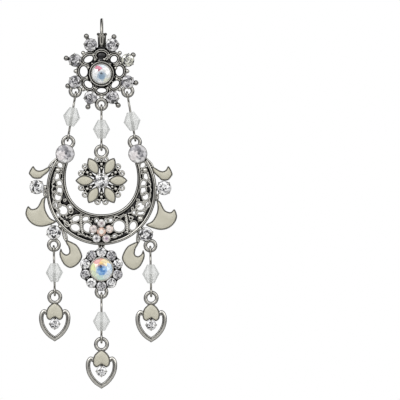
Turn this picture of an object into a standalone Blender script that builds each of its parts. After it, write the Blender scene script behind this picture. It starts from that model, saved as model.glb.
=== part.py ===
"""Chandelier earring with a pierced rosette, a flower pendant, a pierced crescent and three heart drops.

Metres, +Z up, the jewel's face towards -Y. The origin is the underside of the ear wire's crown, where
the earring hangs. Heights in the cups and plates below are measured forward, towards the viewer.
"""

import math

import bmesh
import bpy
import numpy as np

MM = 0.001

# Clearances between pieces that meet
SEAT_LIFT = 0.35 * MM
BEZEL_GAP = 0.15 * MM
ENAMEL_GAP = 0.15 * MM
EYE_GAP = 0.22 * MM
BORE_GAP = 0.25 * MM
LEVER_GAP = 0.30 * MM
NECK_GAP = 0.30 * MM

# Ear wire and lever, in side view
EAR_WIRE_RADIUS = 0.32 * MM
ARCH_SPAN = 6.4 * MM
TIP_LENGTH = 1.5 * MM
EYE_TOP_DROP = 2.9 * MM
EYE_LENGTH = 2.75 * MM
EYE_WIDTH = 0.95 * MM
EYE_SLOT_LENGTH = 1.6 * MM
EYE_SLOT_WIDTH = 0.35 * MM
EYE_THICKNESS = 0.60 * MM
STRAP_WIDTH = 1.3 * MM
STRAP_THICKNESS = 0.35 * MM
STRAP_BEHIND_FACE = 1.15 * MM
HINGE_DROP = 11.6 * MM
HINGE_BEHIND_FACE = 2.75 * MM
HINGE_PIN_RADIUS = 0.25 * MM
HINGE_BARREL_WALL = 0.30 * MM
HINGE_BARREL_LENGTH = 1.1 * MM
HINGE_EAR_THICKNESS = 0.35 * MM
LEVER_SHEET = 0.28 * MM
LEVER_TOP_DROP = 2.7 * MM
LEVER_FLANGE = 0.95 * MM

# Wire links, rings and beads
RING_TUBE = 0.43 * MM
LINK_WIRE_RADIUS = 0.25 * MM
BEAD_WAIST_RADIUS = 2.05 * MM
BEAD_END_RADIUS = 0.85 * MM
BEAD_LENGTH = 4.3 * MM
ROSETTE_RING_RADIUS = 1.12 * MM
HORN_RING_RADIUS = 1.22 * MM
DROP_RING_RADIUS = 1.17 * MM
PENDANT_RING_RADIUS = 1.30 * MM

# Stones and their cups
ROSETTE_STONE_RADIUS = 1.47 * MM
ROSETTE_CENTER_RADIUS = 2.36 * MM
HORN_STONE_RADIUS = 2.12 * MM
SIDE_STONE_RADIUS = 1.60 * MM
FLOWER_STONE_RADIUS = 1.75 * MM
HEART_STONE_RADIUS = 1.15 * MM
BLOSSOM_STONE_RADIUS = 0.92 * MM
HALO_STONE_RADIUS = 1.13 * MM
HALO_CENTER_RADIUS = 2.58 * MM
CUP_WALL = 0.28 * MM
CUP_FLOOR = 0.25 * MM
WELL_FLOOR_SHARE = 0.72
BEZEL_WALL = 0.36 * MM
BEZEL_RIM = 0.30 * MM
CROWN_SHARE = 0.30
PAVILION_SHARE = 0.70
TABLE_SHARE = 0.58
GIRDLE_THICKNESS = 0.10 * MM
GIRDLE_HEIGHT = 0.75 * MM

# Rosette
ROSETTE_DROP = 11.64 * MM
ROSETTE_STONE_COUNT = 8
ROSETTE_STONE_CIRCLE = 6.53 * MM
ROSETTE_PLATE_RADIUS = 5.45 * MM
ROSETTE_SCALLOP = 0.28 * MM
ROSETTE_OPENING_CIRCLE = 4.12 * MM
ROSETTE_OPENING_LENGTH = 1.95 * MM
ROSETTE_OPENING_WIDTH = 1.55 * MM
ROSETTE_BEZEL_DROP = 0.62 * MM
ROSETTE_BEZEL_LIFT = 0.45 * MM
TIP_BALL_CIRCLE = 8.35 * MM
TIP_BALL_RADIUS = 0.60 * MM
EDGE_BALL_CIRCLE = 5.95 * MM
EDGE_BALL_RADIUS = 0.52 * MM
SIDE_RING_ACROSS = 6.03 * MM
SIDE_RING_DROP = 16.22 * MM
CENTER_RING_DROP = 19.25 * MM
PLATE_FRONT = 0.30 * MM
PLATE_BACK = 0.42 * MM

# Crescent. A turn is the angle from straight down round its centre, a reach the distance beyond the
# outer rail's centreline, and a fall the distance straight down between two eyes of a link.
RAIL_RADIUS = 12.26 * MM
UPPER_LINK_FALL = 9.39 * MM
HORN_RING_REACH = 1.15 * MM
HORN_RING_TURN = math.radians(145.21)
HORN_RING_DROP = SIDE_RING_DROP + ROSETTE_RING_RADIUS + UPPER_LINK_FALL + HORN_RING_RADIUS
HORN_RING_ACROSS = (RAIL_RADIUS + HORN_RING_REACH) * math.sin(HORN_RING_TURN)
CRESCENT_DROP = HORN_RING_DROP - (RAIL_RADIUS + HORN_RING_REACH) * math.cos(HORN_RING_TURN)
RAIL_WIDTH = 0.80 * MM
RAIL_DEPTH = 1.15 * MM
RAIL_END_TURN = math.radians(124)
INNER_RAIL_ACROSS = 0.710 * RAIL_RADIUS
INNER_RAIL_DOWN = 0.718 * RAIL_RADIUS
INNER_RAIL_LIFT = 0.225 * RAIL_RADIUS
INNER_RAIL_SQUARENESS = 2.15
INNER_RAIL_WIDTH = 0.88 * MM
INNER_RAIL_END_TURN = math.radians(112)
HORN_STONE_REACH = -0.47 * MM
HORN_STONE_TURN = math.radians(134.86)
CRESCENT_PLATE_FRONT = 0.22 * MM
CRESCENT_PLATE_BACK = 0.38 * MM
KNOB_RADIUS = 0.72 * MM
ROPE_RADIUS = 0.42 * MM
JOINT_BALL_RADIUS = 0.55 * MM
BLOSSOM_ABOVE_RAIL = 2.67 * MM
BLOSSOM_DROP = CRESCENT_DROP + RAIL_RADIUS - BLOSSOM_ABOVE_RAIL
BLOSSOM_CIRCLE = 1.93 * MM
BLOSSOM_CORE_RADIUS = 1.05 * MM
BLOSSOM_PETAL_COUNT = 5
BLOSSOM_DEPTH = 0.50 * MM

# Flower pendant
FLOWER_LIFT = 2.16 * MM
FLOWER_HANGER = 6.62 * MM
FLOWER_DROP = CRESCENT_DROP - FLOWER_LIFT
FLOWER_RING_DROP = FLOWER_DROP - FLOWER_HANGER
PETAL_COUNT = 6
PETAL_START = 1.58 * MM
PETAL_TIP = 5.98 * MM
PETAL_HALF_WIDTH = 1.20 * MM
SPOKE_HALF_WIDTH = 0.26 * MM
SPOKE_TIP = 4.75 * MM
FLOWER_BEAD_RADIUS = 0.48 * MM
FLOWER_BEAD_CIRCLE = 3.75 * MM
EYELET_CIRCLE = 4.95 * MM
EYELET_SPREAD = math.radians(10.5)
EYELET_RADIUS = 0.50 * MM
EYELET_TUBE = 0.25 * MM

# Enamel leaves
LEAF_RIM = 0.26 * MM
LEAF_FLOOR = 0.05 * MM
LEAF_HEIGHT = 0.50 * MM
LEAF_BACK = 0.45 * MM
LEAF_STEM_RADIUS = 0.42 * MM
ENAMEL_HEIGHT = 0.56 * MM

# Halo
HALO_BELOW_RAIL = 5.96 * MM
HALO_DROP = CRESCENT_DROP + RAIL_RADIUS + HALO_BELOW_RAIL
HALO_STONE_COUNT = 10
HALO_CIRCLE = 3.90 * MM
HALO_DEPTH = 1.05 * MM
HALO_HANGER = 5.24 * MM
HALO_RING_DROP = HALO_DROP + HALO_HANGER
HALO_NECK_WIDTH = 1.45 * MM

# Heart drops, from the centre of each heart's ring
HEART_FRAME_TOP = 3.34 * MM
HEART_FRAME_TIP = 9.60 * MM
HEART_FRAME_HALF_WIDTH = 3.08 * MM
HEART_WIRE_WIDTH = 0.92 * MM
HEART_WIRE_DEPTH = 0.90 * MM
HEART_ENAMEL_TOP = 1.28 * MM
HEART_ENAMEL_BOTTOM = 5.20 * MM
HEART_ENAMEL_HALF_WIDTH = 1.88 * MM
HEART_STONE_DROP = 6.20 * MM
HEART_POST_RADIUS = 0.32 * MM

# Numbers of sides of round shapes
RING_SIDES = 10
WIRE_SIDES = 5
CUP_SIDES = 8
LARGE_CUP_SIDES = 10
BEZEL_SIDES = 14
STONE_SIDES = 8
LARGE_STONE_SIDES = 10
BEAD_SIDES = 10
SMOOTH_ANGLE = math.radians(38)
# Turns that keep the corners of round shapes off the symmetry planes of what they are fused to
CUP_TURN = math.radians(21)
BALL_TURN = math.radians(17)

# Half of the heart's frame: share of its half width, share of its height from the tip
HEART_FRAME_SHARES = (
    (0.58, 0.95), (0.80, 1.00), (0.97, 0.89), (1.00, 0.71), (0.92, 0.51), (0.71, 0.31), (0.39, 0.13),
)
# Half of the heart's enamel, an upturned heart: share of its half width, share of its height
HEART_ENAMEL_SHARES = (
    (0.36, 0.86), (0.70, 0.66), (0.93, 0.45), (1.00, 0.25), (0.88, 0.07), (0.60, 0.00), (0.28, 0.08),
)
HEART_NOTCH_SHARE = 0.17

# Leaf outlines of the left side: share of the leaf's width from its left, share of its height from below
UPPER_LEAF_SHARES = (
    (0.19, 1.00), (0.34, 0.74), (0.49, 0.66), (0.65, 0.72), (0.81, 0.86), (1.00, 0.97), (0.98, 0.67),
    (0.85, 0.43), (0.67, 0.20), (0.56, 0.04), (0.38, 0.00), (0.20, 0.05), (0.07, 0.25), (0.00, 0.49),
)
MIDDLE_LEAF_SHARES = (
    (0.08, 0.67), (0.00, 0.42), (0.12, 0.17), (0.34, 0.02), (0.62, 0.00), (1.00, 0.15), (0.80, 0.29),
    (0.66, 0.54), (0.63, 0.77), (0.66, 1.00), (0.53, 0.91), (0.46, 0.77), (0.37, 0.63), (0.21, 0.58),
)
LOWER_LEAF_SHARES = (
    (0.30, 1.00), (0.55, 0.93), (0.79, 0.81), (0.97, 0.56), (1.00, 0.36), (0.79, 0.11), (0.49, 0.00),
    (0.22, 0.11), (0.04, 0.36), (0.00, 0.54), (0.07, 0.69), (0.16, 0.56), (0.31, 0.49), (0.43, 0.56),
    (0.40, 0.74), (0.30, 0.88),
)
# Leaves: name, side, outline, width, height, its centre's reach and turn in degrees, and the reach and
# turn of its stem's end, on the metal that carries it
LEAVES = (
    ("left_upper", -1, UPPER_LEAF_SHARES, 4.85 * MM, 2.95 * MM, 2.57 * MM, 105.7, 0.14 * MM, 124.7),
    ("left_middle", -1, MIDDLE_LEAF_SHARES, 7.10 * MM, 7.00 * MM, 2.53 * MM, 70.6, 0.64 * MM, 88.5),
    ("left_lower", -1, LOWER_LEAF_SHARES, 5.20 * MM, 6.45 * MM, 4.09 * MM, 25.7, 0.32 * MM, 44.7),
    ("right_upper", 1, UPPER_LEAF_SHARES, 4.70 * MM, 3.35 * MM, 2.25 * MM, 105.2, 0.14 * MM, 124.7),
    ("right_middle", 1, MIDDLE_LEAF_SHARES, 7.20 * MM, 7.00 * MM, 2.65 * MM, 67.8, 0.55 * MM, 84.4),
    ("right_lower", 1, LOWER_LEAF_SHARES, 5.20 * MM, 6.60 * MM, 4.57 * MM, 25.9, 0.36 * MM, 44.2),
)
# Side stones: name, side, reach, turn in degrees, and the joint ball's share of the way from the stone to
# the rail's centre
SIDE_STONES = (
    ("upper_left", -1, 2.62 * MM, 92.7, 0.125),
    ("lower_left", -1, 2.39 * MM, 48.4, 0.130),
    ("upper_right", 1, 2.15 * MM, 91.8, 0.130),
    ("lower_right", 1, 2.19 * MM, 44.9, 0.120),
)
# Lower rings: side, the reach and turn of the side stone above, and how far out and below it the ring lies
LOWER_RINGS = {
    "left": (-1, 2.39 * MM, 48.4, 0.0, 2.91 * MM),
    "right": (1, 2.19 * MM, 44.9, 1.05 * MM, 2.55 * MM),
}
# Hearts' rings, from the ring above: how far out and below it each lies
HEART_FALLS = {
    "left": (-0.20 * MM, 11.97 * MM),
    "center": (0.0, 12.03 * MM),
    "right": (0.17 * MM, 12.05 * MM),
}
# How far each bead has slid down from the middle of its link
BEAD_SLIDES = {
    "upper_left": 0.10 * MM,
    "upper_center": 0.35 * MM,
    "upper_right": 1.15 * MM,
    "lower_left": 0.45 * MM,
    "lower_center": 0.80 * MM,
    "lower_right": 0.55 * MM,
}
# Openings of the crescent, on each side: share of the rail's radius across, share up from its centre,
# long half size, short half size, turn in degrees
CRESCENT_OPENINGS = (
    (0.775, 0.462, 0.50 * MM, 0.40 * MM, 50),
    (0.845, 0.250, 0.62 * MM, 0.42 * MM, 100),
    (0.800, 0.120, 0.52 * MM, 0.38 * MM, 60),
    (0.765, -0.010, 0.62 * MM, 0.42 * MM, 90),
    (0.828, -0.135, 0.66 * MM, 0.58 * MM, 90),
    (0.862, -0.275, 0.48 * MM, 0.36 * MM, 70),
    (0.715, -0.378, 0.90 * MM, 0.80 * MM, 45),
    (0.592, -0.315, 0.42 * MM, 0.34 * MM, 45),
    (0.472, -0.533, 0.80 * MM, 0.50 * MM, 150),
    (0.488, -0.700, 0.55 * MM, 0.45 * MM, 0),
    (0.308, -0.545, 0.50 * MM, 0.38 * MM, 170),
    (0.287, -0.722, 0.62 * MM, 0.52 * MM, 0),
)
OPENING_SIDES = 8
# Balls on the crescent, on each side: share of the rail's radius across, share up, share of the knob's radius
CRESCENT_BALLS = (
    (0.820, 0.368, 1.0),
    (0.770, -0.215, 0.6),
    (0.690, -0.548, 0.75),
    (0.598, -0.660, 0.75),
)
# Twisted bar of the crescent, on each side: across and up, at its upper and lower end
CRESCENT_ROPE = ((0.375, -0.500), (0.350, -0.830))

FACE_Y = -ARCH_SPAN / 2
EYE_RADIUS = RING_TUBE + EYE_GAP + LINK_WIRE_RADIUS
FORWARD = np.array((0.0, -1.0, 0.0))
ACROSS = np.array((1.0, 0.0, 0.0))
UPWARD = np.array((0.0, 0.0, 1.0))


def remove_all_objects():
    for item in list(bpy.data.objects):
        bpy.data.objects.remove(item, do_unlink=True)


def make_material(name, colour, roughness, metallic):
    material = bpy.data.materials.new(name)
    material.use_nodes = True
    shader = material.node_tree.nodes["Principled BSDF"]
    shader.inputs["Base Color"].default_value = (*colour, 1.0)
    shader.inputs["Roughness"].default_value = roughness
    shader.inputs["Metallic"].default_value = metallic
    material.diffuse_color = (*colour, 1.0)
    return material


def unit(vectors):
    return vectors / np.linalg.norm(vectors, axis=-1, keepdims=True)


def new_object(name, points, faces):
    """A closed mesh object with its faces turned outwards."""
    mesh = bpy.data.meshes.new(name)
    mesh.from_pydata([tuple(map(float, point)) for point in points], [], faces)
    shell = bmesh.new()
    shell.from_mesh(mesh)
    bmesh.ops.recalc_face_normals(shell, faces=shell.faces)
    shell.to_mesh(mesh)
    shell.free()
    item = bpy.data.objects.new(name, mesh)
    bpy.context.scene.collection.objects.link(item)
    return item


def circle(radius, count, turn=0.0):
    angles = turn + np.arange(count) * 2 * math.pi / count
    return np.stack([np.cos(angles), np.sin(angles)], axis=1) * radius


def band_faces(rows, columns, closed):
    """Quads between neighbouring rows of points, each row a closed loop."""
    faces = []
    for row in range(rows if closed else rows - 1):
        following = (row + 1) % rows
        for column in range(columns):
            beside = (column + 1) % columns
            first, second = row * columns, following * columns
            faces.append((first + column, first + beside, second + beside, second + column))
    return faces


def sweep(path, section, normal, closed=False):
    """A section carried along a flat path and mitred at its corners, its second axis on the normal."""
    path = np.asarray(path, float)
    before = np.roll(path, 1, axis=0)
    after = np.roll(path, -1, axis=0)
    if not closed:
        before[0] = 2 * path[0] - path[1]
        after[-1] = 2 * path[-1] - path[-2]
    arriving = unit(path - before)
    tangent = unit(arriving + unit(after - path))
    mitre = 1 / np.clip((tangent * arriving).sum(axis=1), 0.5, 1.0)
    side = unit(np.cross(tangent, normal)) * mitre[:, None]
    points = path[:, None] + section[None, :, :1] * side[:, None] + section[None, :, 1:] * np.asarray(normal)
    count = len(section)
    faces = band_faces(len(path), count, closed)
    if not closed:
        faces.append(tuple(range(count)))
        faces.append(tuple(range((len(path) - 1) * count, len(path) * count)))
    return new_object("sweep", points.reshape(-1, 3), faces)


def ring(center, radius, tube, sides=RING_SIDES, wire_sides=WIRE_SIDES):
    """A closed wire ring that lies in the face's plane."""
    loop = circle(radius, sides)
    path = np.asarray(center) + loop[:, :1] * UPWARD + loop[:, 1:] * ACROSS
    return sweep(path, circle(tube, wire_sides, math.pi / wire_sides), FORWARD, closed=True)


def turned(profile, sides, center, axis=FORWARD, turn=0.0):
    """A profile of radius and height turned about an axis. It starts and ends on the axis."""
    axis = unit(np.asarray(axis, float))
    first = unit(np.cross(axis, UPWARD if abs(axis[2]) < 0.9 else ACROSS))
    second = np.cross(axis, first)
    loop = circle(1.0, sides, turn)
    points = [np.asarray(center) + profile[0][1] * axis]
    for radius, height in profile[1:-1]:
        around_axis = radius * (loop[:, :1] * first + loop[:, 1:] * second)
        points.extend(np.asarray(center) + height * axis + around_axis)
    points.append(np.asarray(center) + profile[-1][1] * axis)
    rows = len(profile) - 2
    faces = [tuple(1 + index for index in face) for face in band_faces(rows, sides, False)]
    last = len(points) - 1
    for side in range(sides):
        beside = (side + 1) % sides
        faces.append((0, 1 + beside, 1 + side))
        faces.append((last, last - sides + side, last - sides + beside))
    return new_object("turned", points, faces)


def rod(radius, half_length, sides, center, axis):
    """A straight round bar about an axis, with flat ends."""
    profile = ((0, -half_length), (radius, -half_length), (radius, half_length), (0, half_length))
    return turned(profile, sides, center, axis)


def prism(outline, front, back):
    """A flat outline, across and up, with its front this far forward and its back this far behind."""
    outline = np.asarray(outline, float)
    count = len(outline)
    points = [(across, -front, up) for across, up in outline] + [(across, back, up) for across, up in outline]
    faces = [tuple(range(count)), tuple(range(count, 2 * count))]
    for index in range(count):
        beside = (index + 1) % count
        faces.append((index, beside, count + beside, count + index))
    return new_object("prism", points, faces)


def block(low, high):
    """A box between its low and high corners."""
    (x0, y0, z0), (x1, y1, z1) = low, high
    return prism([(x0, z0), (x1, z0), (x1, z1), (x0, z1)], -y0, y1)


def ball(center, radius, sides=6, rows=3):
    steps = np.linspace(-math.pi / 2, math.pi / 2, rows + 1)
    profile = [(radius * math.cos(step), radius * math.sin(step)) for step in steps]
    return turned(profile, sides, center, turn=BALL_TURN)


def grown(outline, distance):
    """The outline with each corner moved out by this distance, in where it is negative."""
    outline = np.asarray(outline, float)
    arriving = unit(outline - np.roll(outline, 1, axis=0))
    leaving = unit(np.roll(outline, -1, axis=0) - outline)
    tangent = unit(arriving + leaving)
    across, up = outline[:, 0], outline[:, 1]
    area = np.sum(across * np.roll(up, -1) - np.roll(across, -1) * up)
    outward = np.stack([tangent[:, 1], -tangent[:, 0]], axis=1) * np.sign(area)
    return outline + outward * distance


def combine(body, operation, operands):
    """Applies one Boolean of the body with all the operands and removes them."""
    if not operands:
        return
    group = bpy.data.collections.new("operands")
    for operand in operands:
        group.objects.link(operand)
    modifier = body.modifiers.new("combine", "BOOLEAN")
    modifier.operation = operation
    modifier.operand_type = "COLLECTION"
    modifier.collection = group
    modifier.solver = "EXACT"
    graph = bpy.context.evaluated_depsgraph_get()
    mesh = bpy.data.meshes.new_from_object(body.evaluated_get(graph))
    body.modifiers.clear()
    old = body.data
    body.data = mesh
    bpy.data.meshes.remove(old)
    bpy.data.collections.remove(group)
    for operand in operands:
        bpy.data.objects.remove(operand, do_unlink=True)


def finish(item, name, material, parent, location):
    """Names, colours, shades and places a piece under its parent empty."""
    item.name = name
    item.data.name = name
    item.data.materials.clear()
    item.data.materials.append(material)
    item.data.shade_smooth()
    item.data.set_sharp_from_angle(angle=SMOOTH_ANGLE)
    item.parent = parent
    item.location = np.asarray(location) - np.asarray(parent.location)
    return item


def casting(name, pieces, cutters, material, parent, location):
    """Several overlapping shapes and their cut-outs as one closed body."""
    body = pieces[0]
    combine(body, "UNION", pieces[1:])
    combine(body, "DIFFERENCE", cutters)
    return finish(body, name, material, parent, location)


def pivot(name, location):
    empty = bpy.data.objects.new(name, None)
    empty.location = location
    bpy.context.scene.collection.objects.link(empty)
    return empty


def at(across, drop, height=0.0):
    """A place on the jewel's face: across, below the origin, and forward of the middle plane."""
    return np.array((across, FACE_Y - height, -drop))


def flat(across, up, height=0.0):
    """A place inside a piece whose own origin lies in the middle plane."""
    return np.array((across, -height, up))


def beyond_rail(side, reach, degrees):
    """A place by its reach beyond the crescent's outer rail and its turn, across and below the origin."""
    turn = math.radians(degrees)
    distance = RAIL_RADIUS + reach
    return side * distance * math.sin(turn), CRESCENT_DROP + distance * math.cos(turn)


def lower_ring(word):
    """The place of a lower ring of the crescent, across and below the origin."""
    side, reach, degrees, outward, fall = LOWER_RINGS[word]
    across, drop = beyond_rail(side, reach, degrees)
    return across + side * outward, drop + fall


def heart_ring(word):
    """The place of a heart's ring, across and below the origin."""
    outward, fall = HEART_FALLS[word]
    if word == "center":
        return 0.0, HALO_RING_DROP + fall
    across, drop = lower_ring(word)
    side = LOWER_RINGS[word][0]
    return across + side * outward, drop + fall


def pavilion(radius):
    return PAVILION_SHARE * radius


def cup(center, radius, sides=CUP_SIDES):
    """The blank of a cup as wide as its stone, whose rim stops just behind the stone's girdle."""
    rim = GIRDLE_HEIGHT - SEAT_LIFT
    back = rim - pavilion(radius) - CUP_FLOOR
    return turned(((0.0, back), (radius, back), (radius, rim), (0.0, rim)), sides, center, turn=CUP_TURN)


def well(center, radius, sides=CUP_SIDES):
    """The cutter for a cup's hollow, which the stone's pavilion stands in."""
    rim = GIRDLE_HEIGHT - SEAT_LIFT
    mouth = radius - CUP_WALL
    floor = rim - pavilion(radius)
    front = 2 * GIRDLE_HEIGHT
    profile = ((0.0, floor), (WELL_FLOOR_SHARE * mouth, floor), (mouth, rim), (mouth, front), (0.0, front))
    return turned(profile, sides, center, turn=CUP_TURN)


def bezel(center, stone_radius):
    """The blank of a bezel round a large stone, with its rim above the girdle."""
    outer = stone_radius + BEZEL_GAP + BEZEL_WALL
    back = GIRDLE_HEIGHT - pavilion(stone_radius) - BEZEL_GAP - CUP_FLOOR
    rim = GIRDLE_HEIGHT + BEZEL_RIM
    profile = ((0.0, back), (outer, back), (outer, GIRDLE_HEIGHT), (outer - BEZEL_WALL / 3, rim), (0.0, rim))
    return turned(profile, BEZEL_SIDES, center, turn=BALL_TURN)


def bezel_well(center, stone_radius):
    """The cutter for a bezel's hollow."""
    inner = stone_radius + BEZEL_GAP
    floor = GIRDLE_HEIGHT - pavilion(stone_radius) - BEZEL_GAP
    front = GIRDLE_HEIGHT + 2 * BEZEL_RIM
    profile = ((0.0, floor), (inner, floor), (inner, front), (0.0, front))
    return turned(profile, BEZEL_SIDES, center, turn=BALL_TURN)


def stone(radius, sides=STONE_SIDES):
    """A round cut stone with its girdle in the middle plane: table, crown, girdle and pointed pavilion."""
    half = GIRDLE_THICKNESS / 2
    profile = (
        (0.0, -pavilion(radius)),
        (radius, -half),
        (radius, half),
        (TABLE_SHARE * radius, half + CROWN_SHARE * radius),
        (0.0, half + CROWN_SHARE * radius),
    )
    return turned(profile, sides, (0, 0, 0), turn=math.pi / sides)


def set_stone(center, radius, depth):
    """A small cup with its stone as one body, for clusters: back, wall, rim, crown and table."""
    rim = GIRDLE_HEIGHT - SEAT_LIFT
    profile = (
        (0.0, rim - depth),
        (radius, rim - depth),
        (radius, rim),
        (0.9 * radius, rim + GIRDLE_THICKNESS),
        (TABLE_SHARE * radius, rim + GIRDLE_THICKNESS + CROWN_SHARE * radius),
        (0.0, rim + GIRDLE_THICKNESS + CROWN_SHARE * radius),
    )
    return turned(profile, STONE_SIDES, center, turn=math.pi / STONE_SIDES)


def around(count, radius, start=0.0):
    """Places on a circle in the face's plane, and their angles."""
    for index in range(count):
        angle = start + index * 2 * math.pi / count
        yield radius * math.cos(angle), radius * math.sin(angle), angle


def make_ear_wire(material, parent):
    """The arch, its eye, the strap behind the rosette and the hinge's two ears with their pin."""
    half = ARCH_SPAN / 2
    turns = np.linspace(math.pi, 0, 13)
    arch = [(0.0, half * math.cos(turn), EAR_WIRE_RADIUS - half + half * math.sin(turn)) for turn in turns]
    shank_foot = (0.0, FACE_Y, -EYE_TOP_DROP - EYE_SLOT_WIDTH)
    tip = (0.0, half, arch[-1][2] - TIP_LENGTH)
    wire = sweep([shank_foot, *arch, tip], circle(EAR_WIRE_RADIUS, 8, math.pi / 8), ACROSS)
    eye_middle = -EYE_TOP_DROP - EYE_LENGTH / 2
    round_radius = EYE_WIDTH / 2
    straight_half = EYE_LENGTH / 2 - round_radius
    rounded = [
        (
            round_radius * math.sin(turn),
            eye_middle + math.copysign(straight_half, math.cos(turn)) + round_radius * math.cos(turn),
        )
        for turn in np.radians(np.arange(18, 378, 36))
    ]
    eye = prism(rounded, EYE_THICKNESS / 2 - FACE_Y, EYE_THICKNESS / 2 + FACE_Y)
    slot_low = -EYE_TOP_DROP - EYE_LENGTH + EYE_WIDTH / 3
    slot = block(
        (-EYE_SLOT_WIDTH / 2, FACE_Y - EYE_THICKNESS, slot_low),
        (EYE_SLOT_WIDTH / 2, FACE_Y + EYE_THICKNESS, slot_low + EYE_SLOT_LENGTH),
    )
    strap_front = FACE_Y + STRAP_BEHIND_FACE
    strap_back = strap_front + STRAP_THICKNESS
    strap_top = -EYE_TOP_DROP - EYE_WIDTH / 2
    strap = block((-STRAP_WIDTH / 2, strap_front, -HINGE_DROP), (STRAP_WIDTH / 2, strap_back, strap_top))
    bridge = block(
        (-EYE_WIDTH / 3, FACE_Y, strap_top - EYE_WIDTH),
        (EYE_WIDTH / 3, strap_front + STRAP_THICKNESS / 2, strap_top - EYE_WIDTH / 3),
    )
    hinge_y = FACE_Y + HINGE_BEHIND_FACE
    barrel_radius = HINGE_PIN_RADIUS + BORE_GAP + HINGE_BARREL_WALL
    ear_inner = HINGE_BARREL_LENGTH / 2 + LEVER_GAP
    ear_outer = ear_inner + HINGE_EAR_THICKNESS
    plate = block(
        (-ear_outer, strap_front + STRAP_THICKNESS / 3, -HINGE_DROP - barrel_radius),
        (ear_outer, strap_back + STRAP_THICKNESS / 3, -HINGE_DROP + barrel_radius),
    )
    ear_reach = HINGE_PIN_RADIUS * 2
    ears = [
        block(
            (min(side * ear_inner, side * ear_outer), strap_back, -HINGE_DROP - ear_reach),
            (max(side * ear_inner, side * ear_outer), hinge_y + ear_reach, -HINGE_DROP + ear_reach),
        )
        for side in (-1, 1)
    ]
    pin_end = ear_outer - HINGE_EAR_THICKNESS / 3
    pin = rod(HINGE_PIN_RADIUS, pin_end, 8, (0, hinge_y, -HINGE_DROP), ACROSS)
    casting("ear_wire", [wire, eye, strap, bridge, plate, *ears, pin], [slot], material, parent, (0, 0, 0))


def make_ear_lever(material, parent):
    """The bent channel behind the arch: a barrel at its foot, and flanges that hold the wire's tip."""
    hinge_y = FACE_Y + HINGE_BEHIND_FACE
    bore = HINGE_PIN_RADIUS + BORE_GAP
    barrel_radius = bore + HINGE_BARREL_WALL
    half_length = HINGE_BARREL_LENGTH / 2
    barrel = rod(barrel_radius, half_length, 12, (0, 0, 0), ACROSS)
    hole = rod(bore, 2 * half_length, RING_SIDES, (0, 0, 0), ACROSS)
    back_y = ARCH_SPAN / 2 + EAR_WIRE_RADIUS + LEVER_GAP + LEVER_SHEET / 2 - hinge_y
    top_z = HINGE_DROP - LEVER_TOP_DROP
    middle_of_wall = bore + HINGE_BARREL_WALL / 2
    path = (
        (0.0, 0.0, -middle_of_wall),
        (0.0, 0.30 * back_y, -middle_of_wall),
        (0.0, 0.62 * back_y, -0.03 * top_z),
        (0.0, 0.86 * back_y, 0.10 * top_z),
        (0.0, 0.97 * back_y, 0.28 * top_z),
        (0.0, back_y, 0.50 * top_z),
        (0.0, back_y, top_z),
    )
    corners = np.array(((-0.5, -1.0), (0.5, -1.0), (0.5, 1.0), (-0.5, 1.0)))
    sheet = sweep(path, corners * (LEVER_SHEET, half_length), ACROSS)
    inner = EAR_WIRE_RADIUS + LEVER_GAP
    outer = inner + LEVER_SHEET
    low_z = 0.42 * top_z
    channel_back = block(
        (-outer, back_y - LEVER_SHEET / 2, low_z),
        (outer, back_y + LEVER_SHEET / 2, top_z + LEVER_SHEET / 3),
    )
    flanges = [
        block(
            (min(side * inner, side * outer), back_y - LEVER_FLANGE, low_z + LEVER_SHEET),
            (max(side * inner, side * outer), back_y, top_z),
        )
        for side in (-1, 1)
    ]
    pieces = [barrel, sheet, channel_back, *flanges]
    casting("ear_lever", pieces, [hole], material, parent, (0, hinge_y, -HINGE_DROP))


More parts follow.
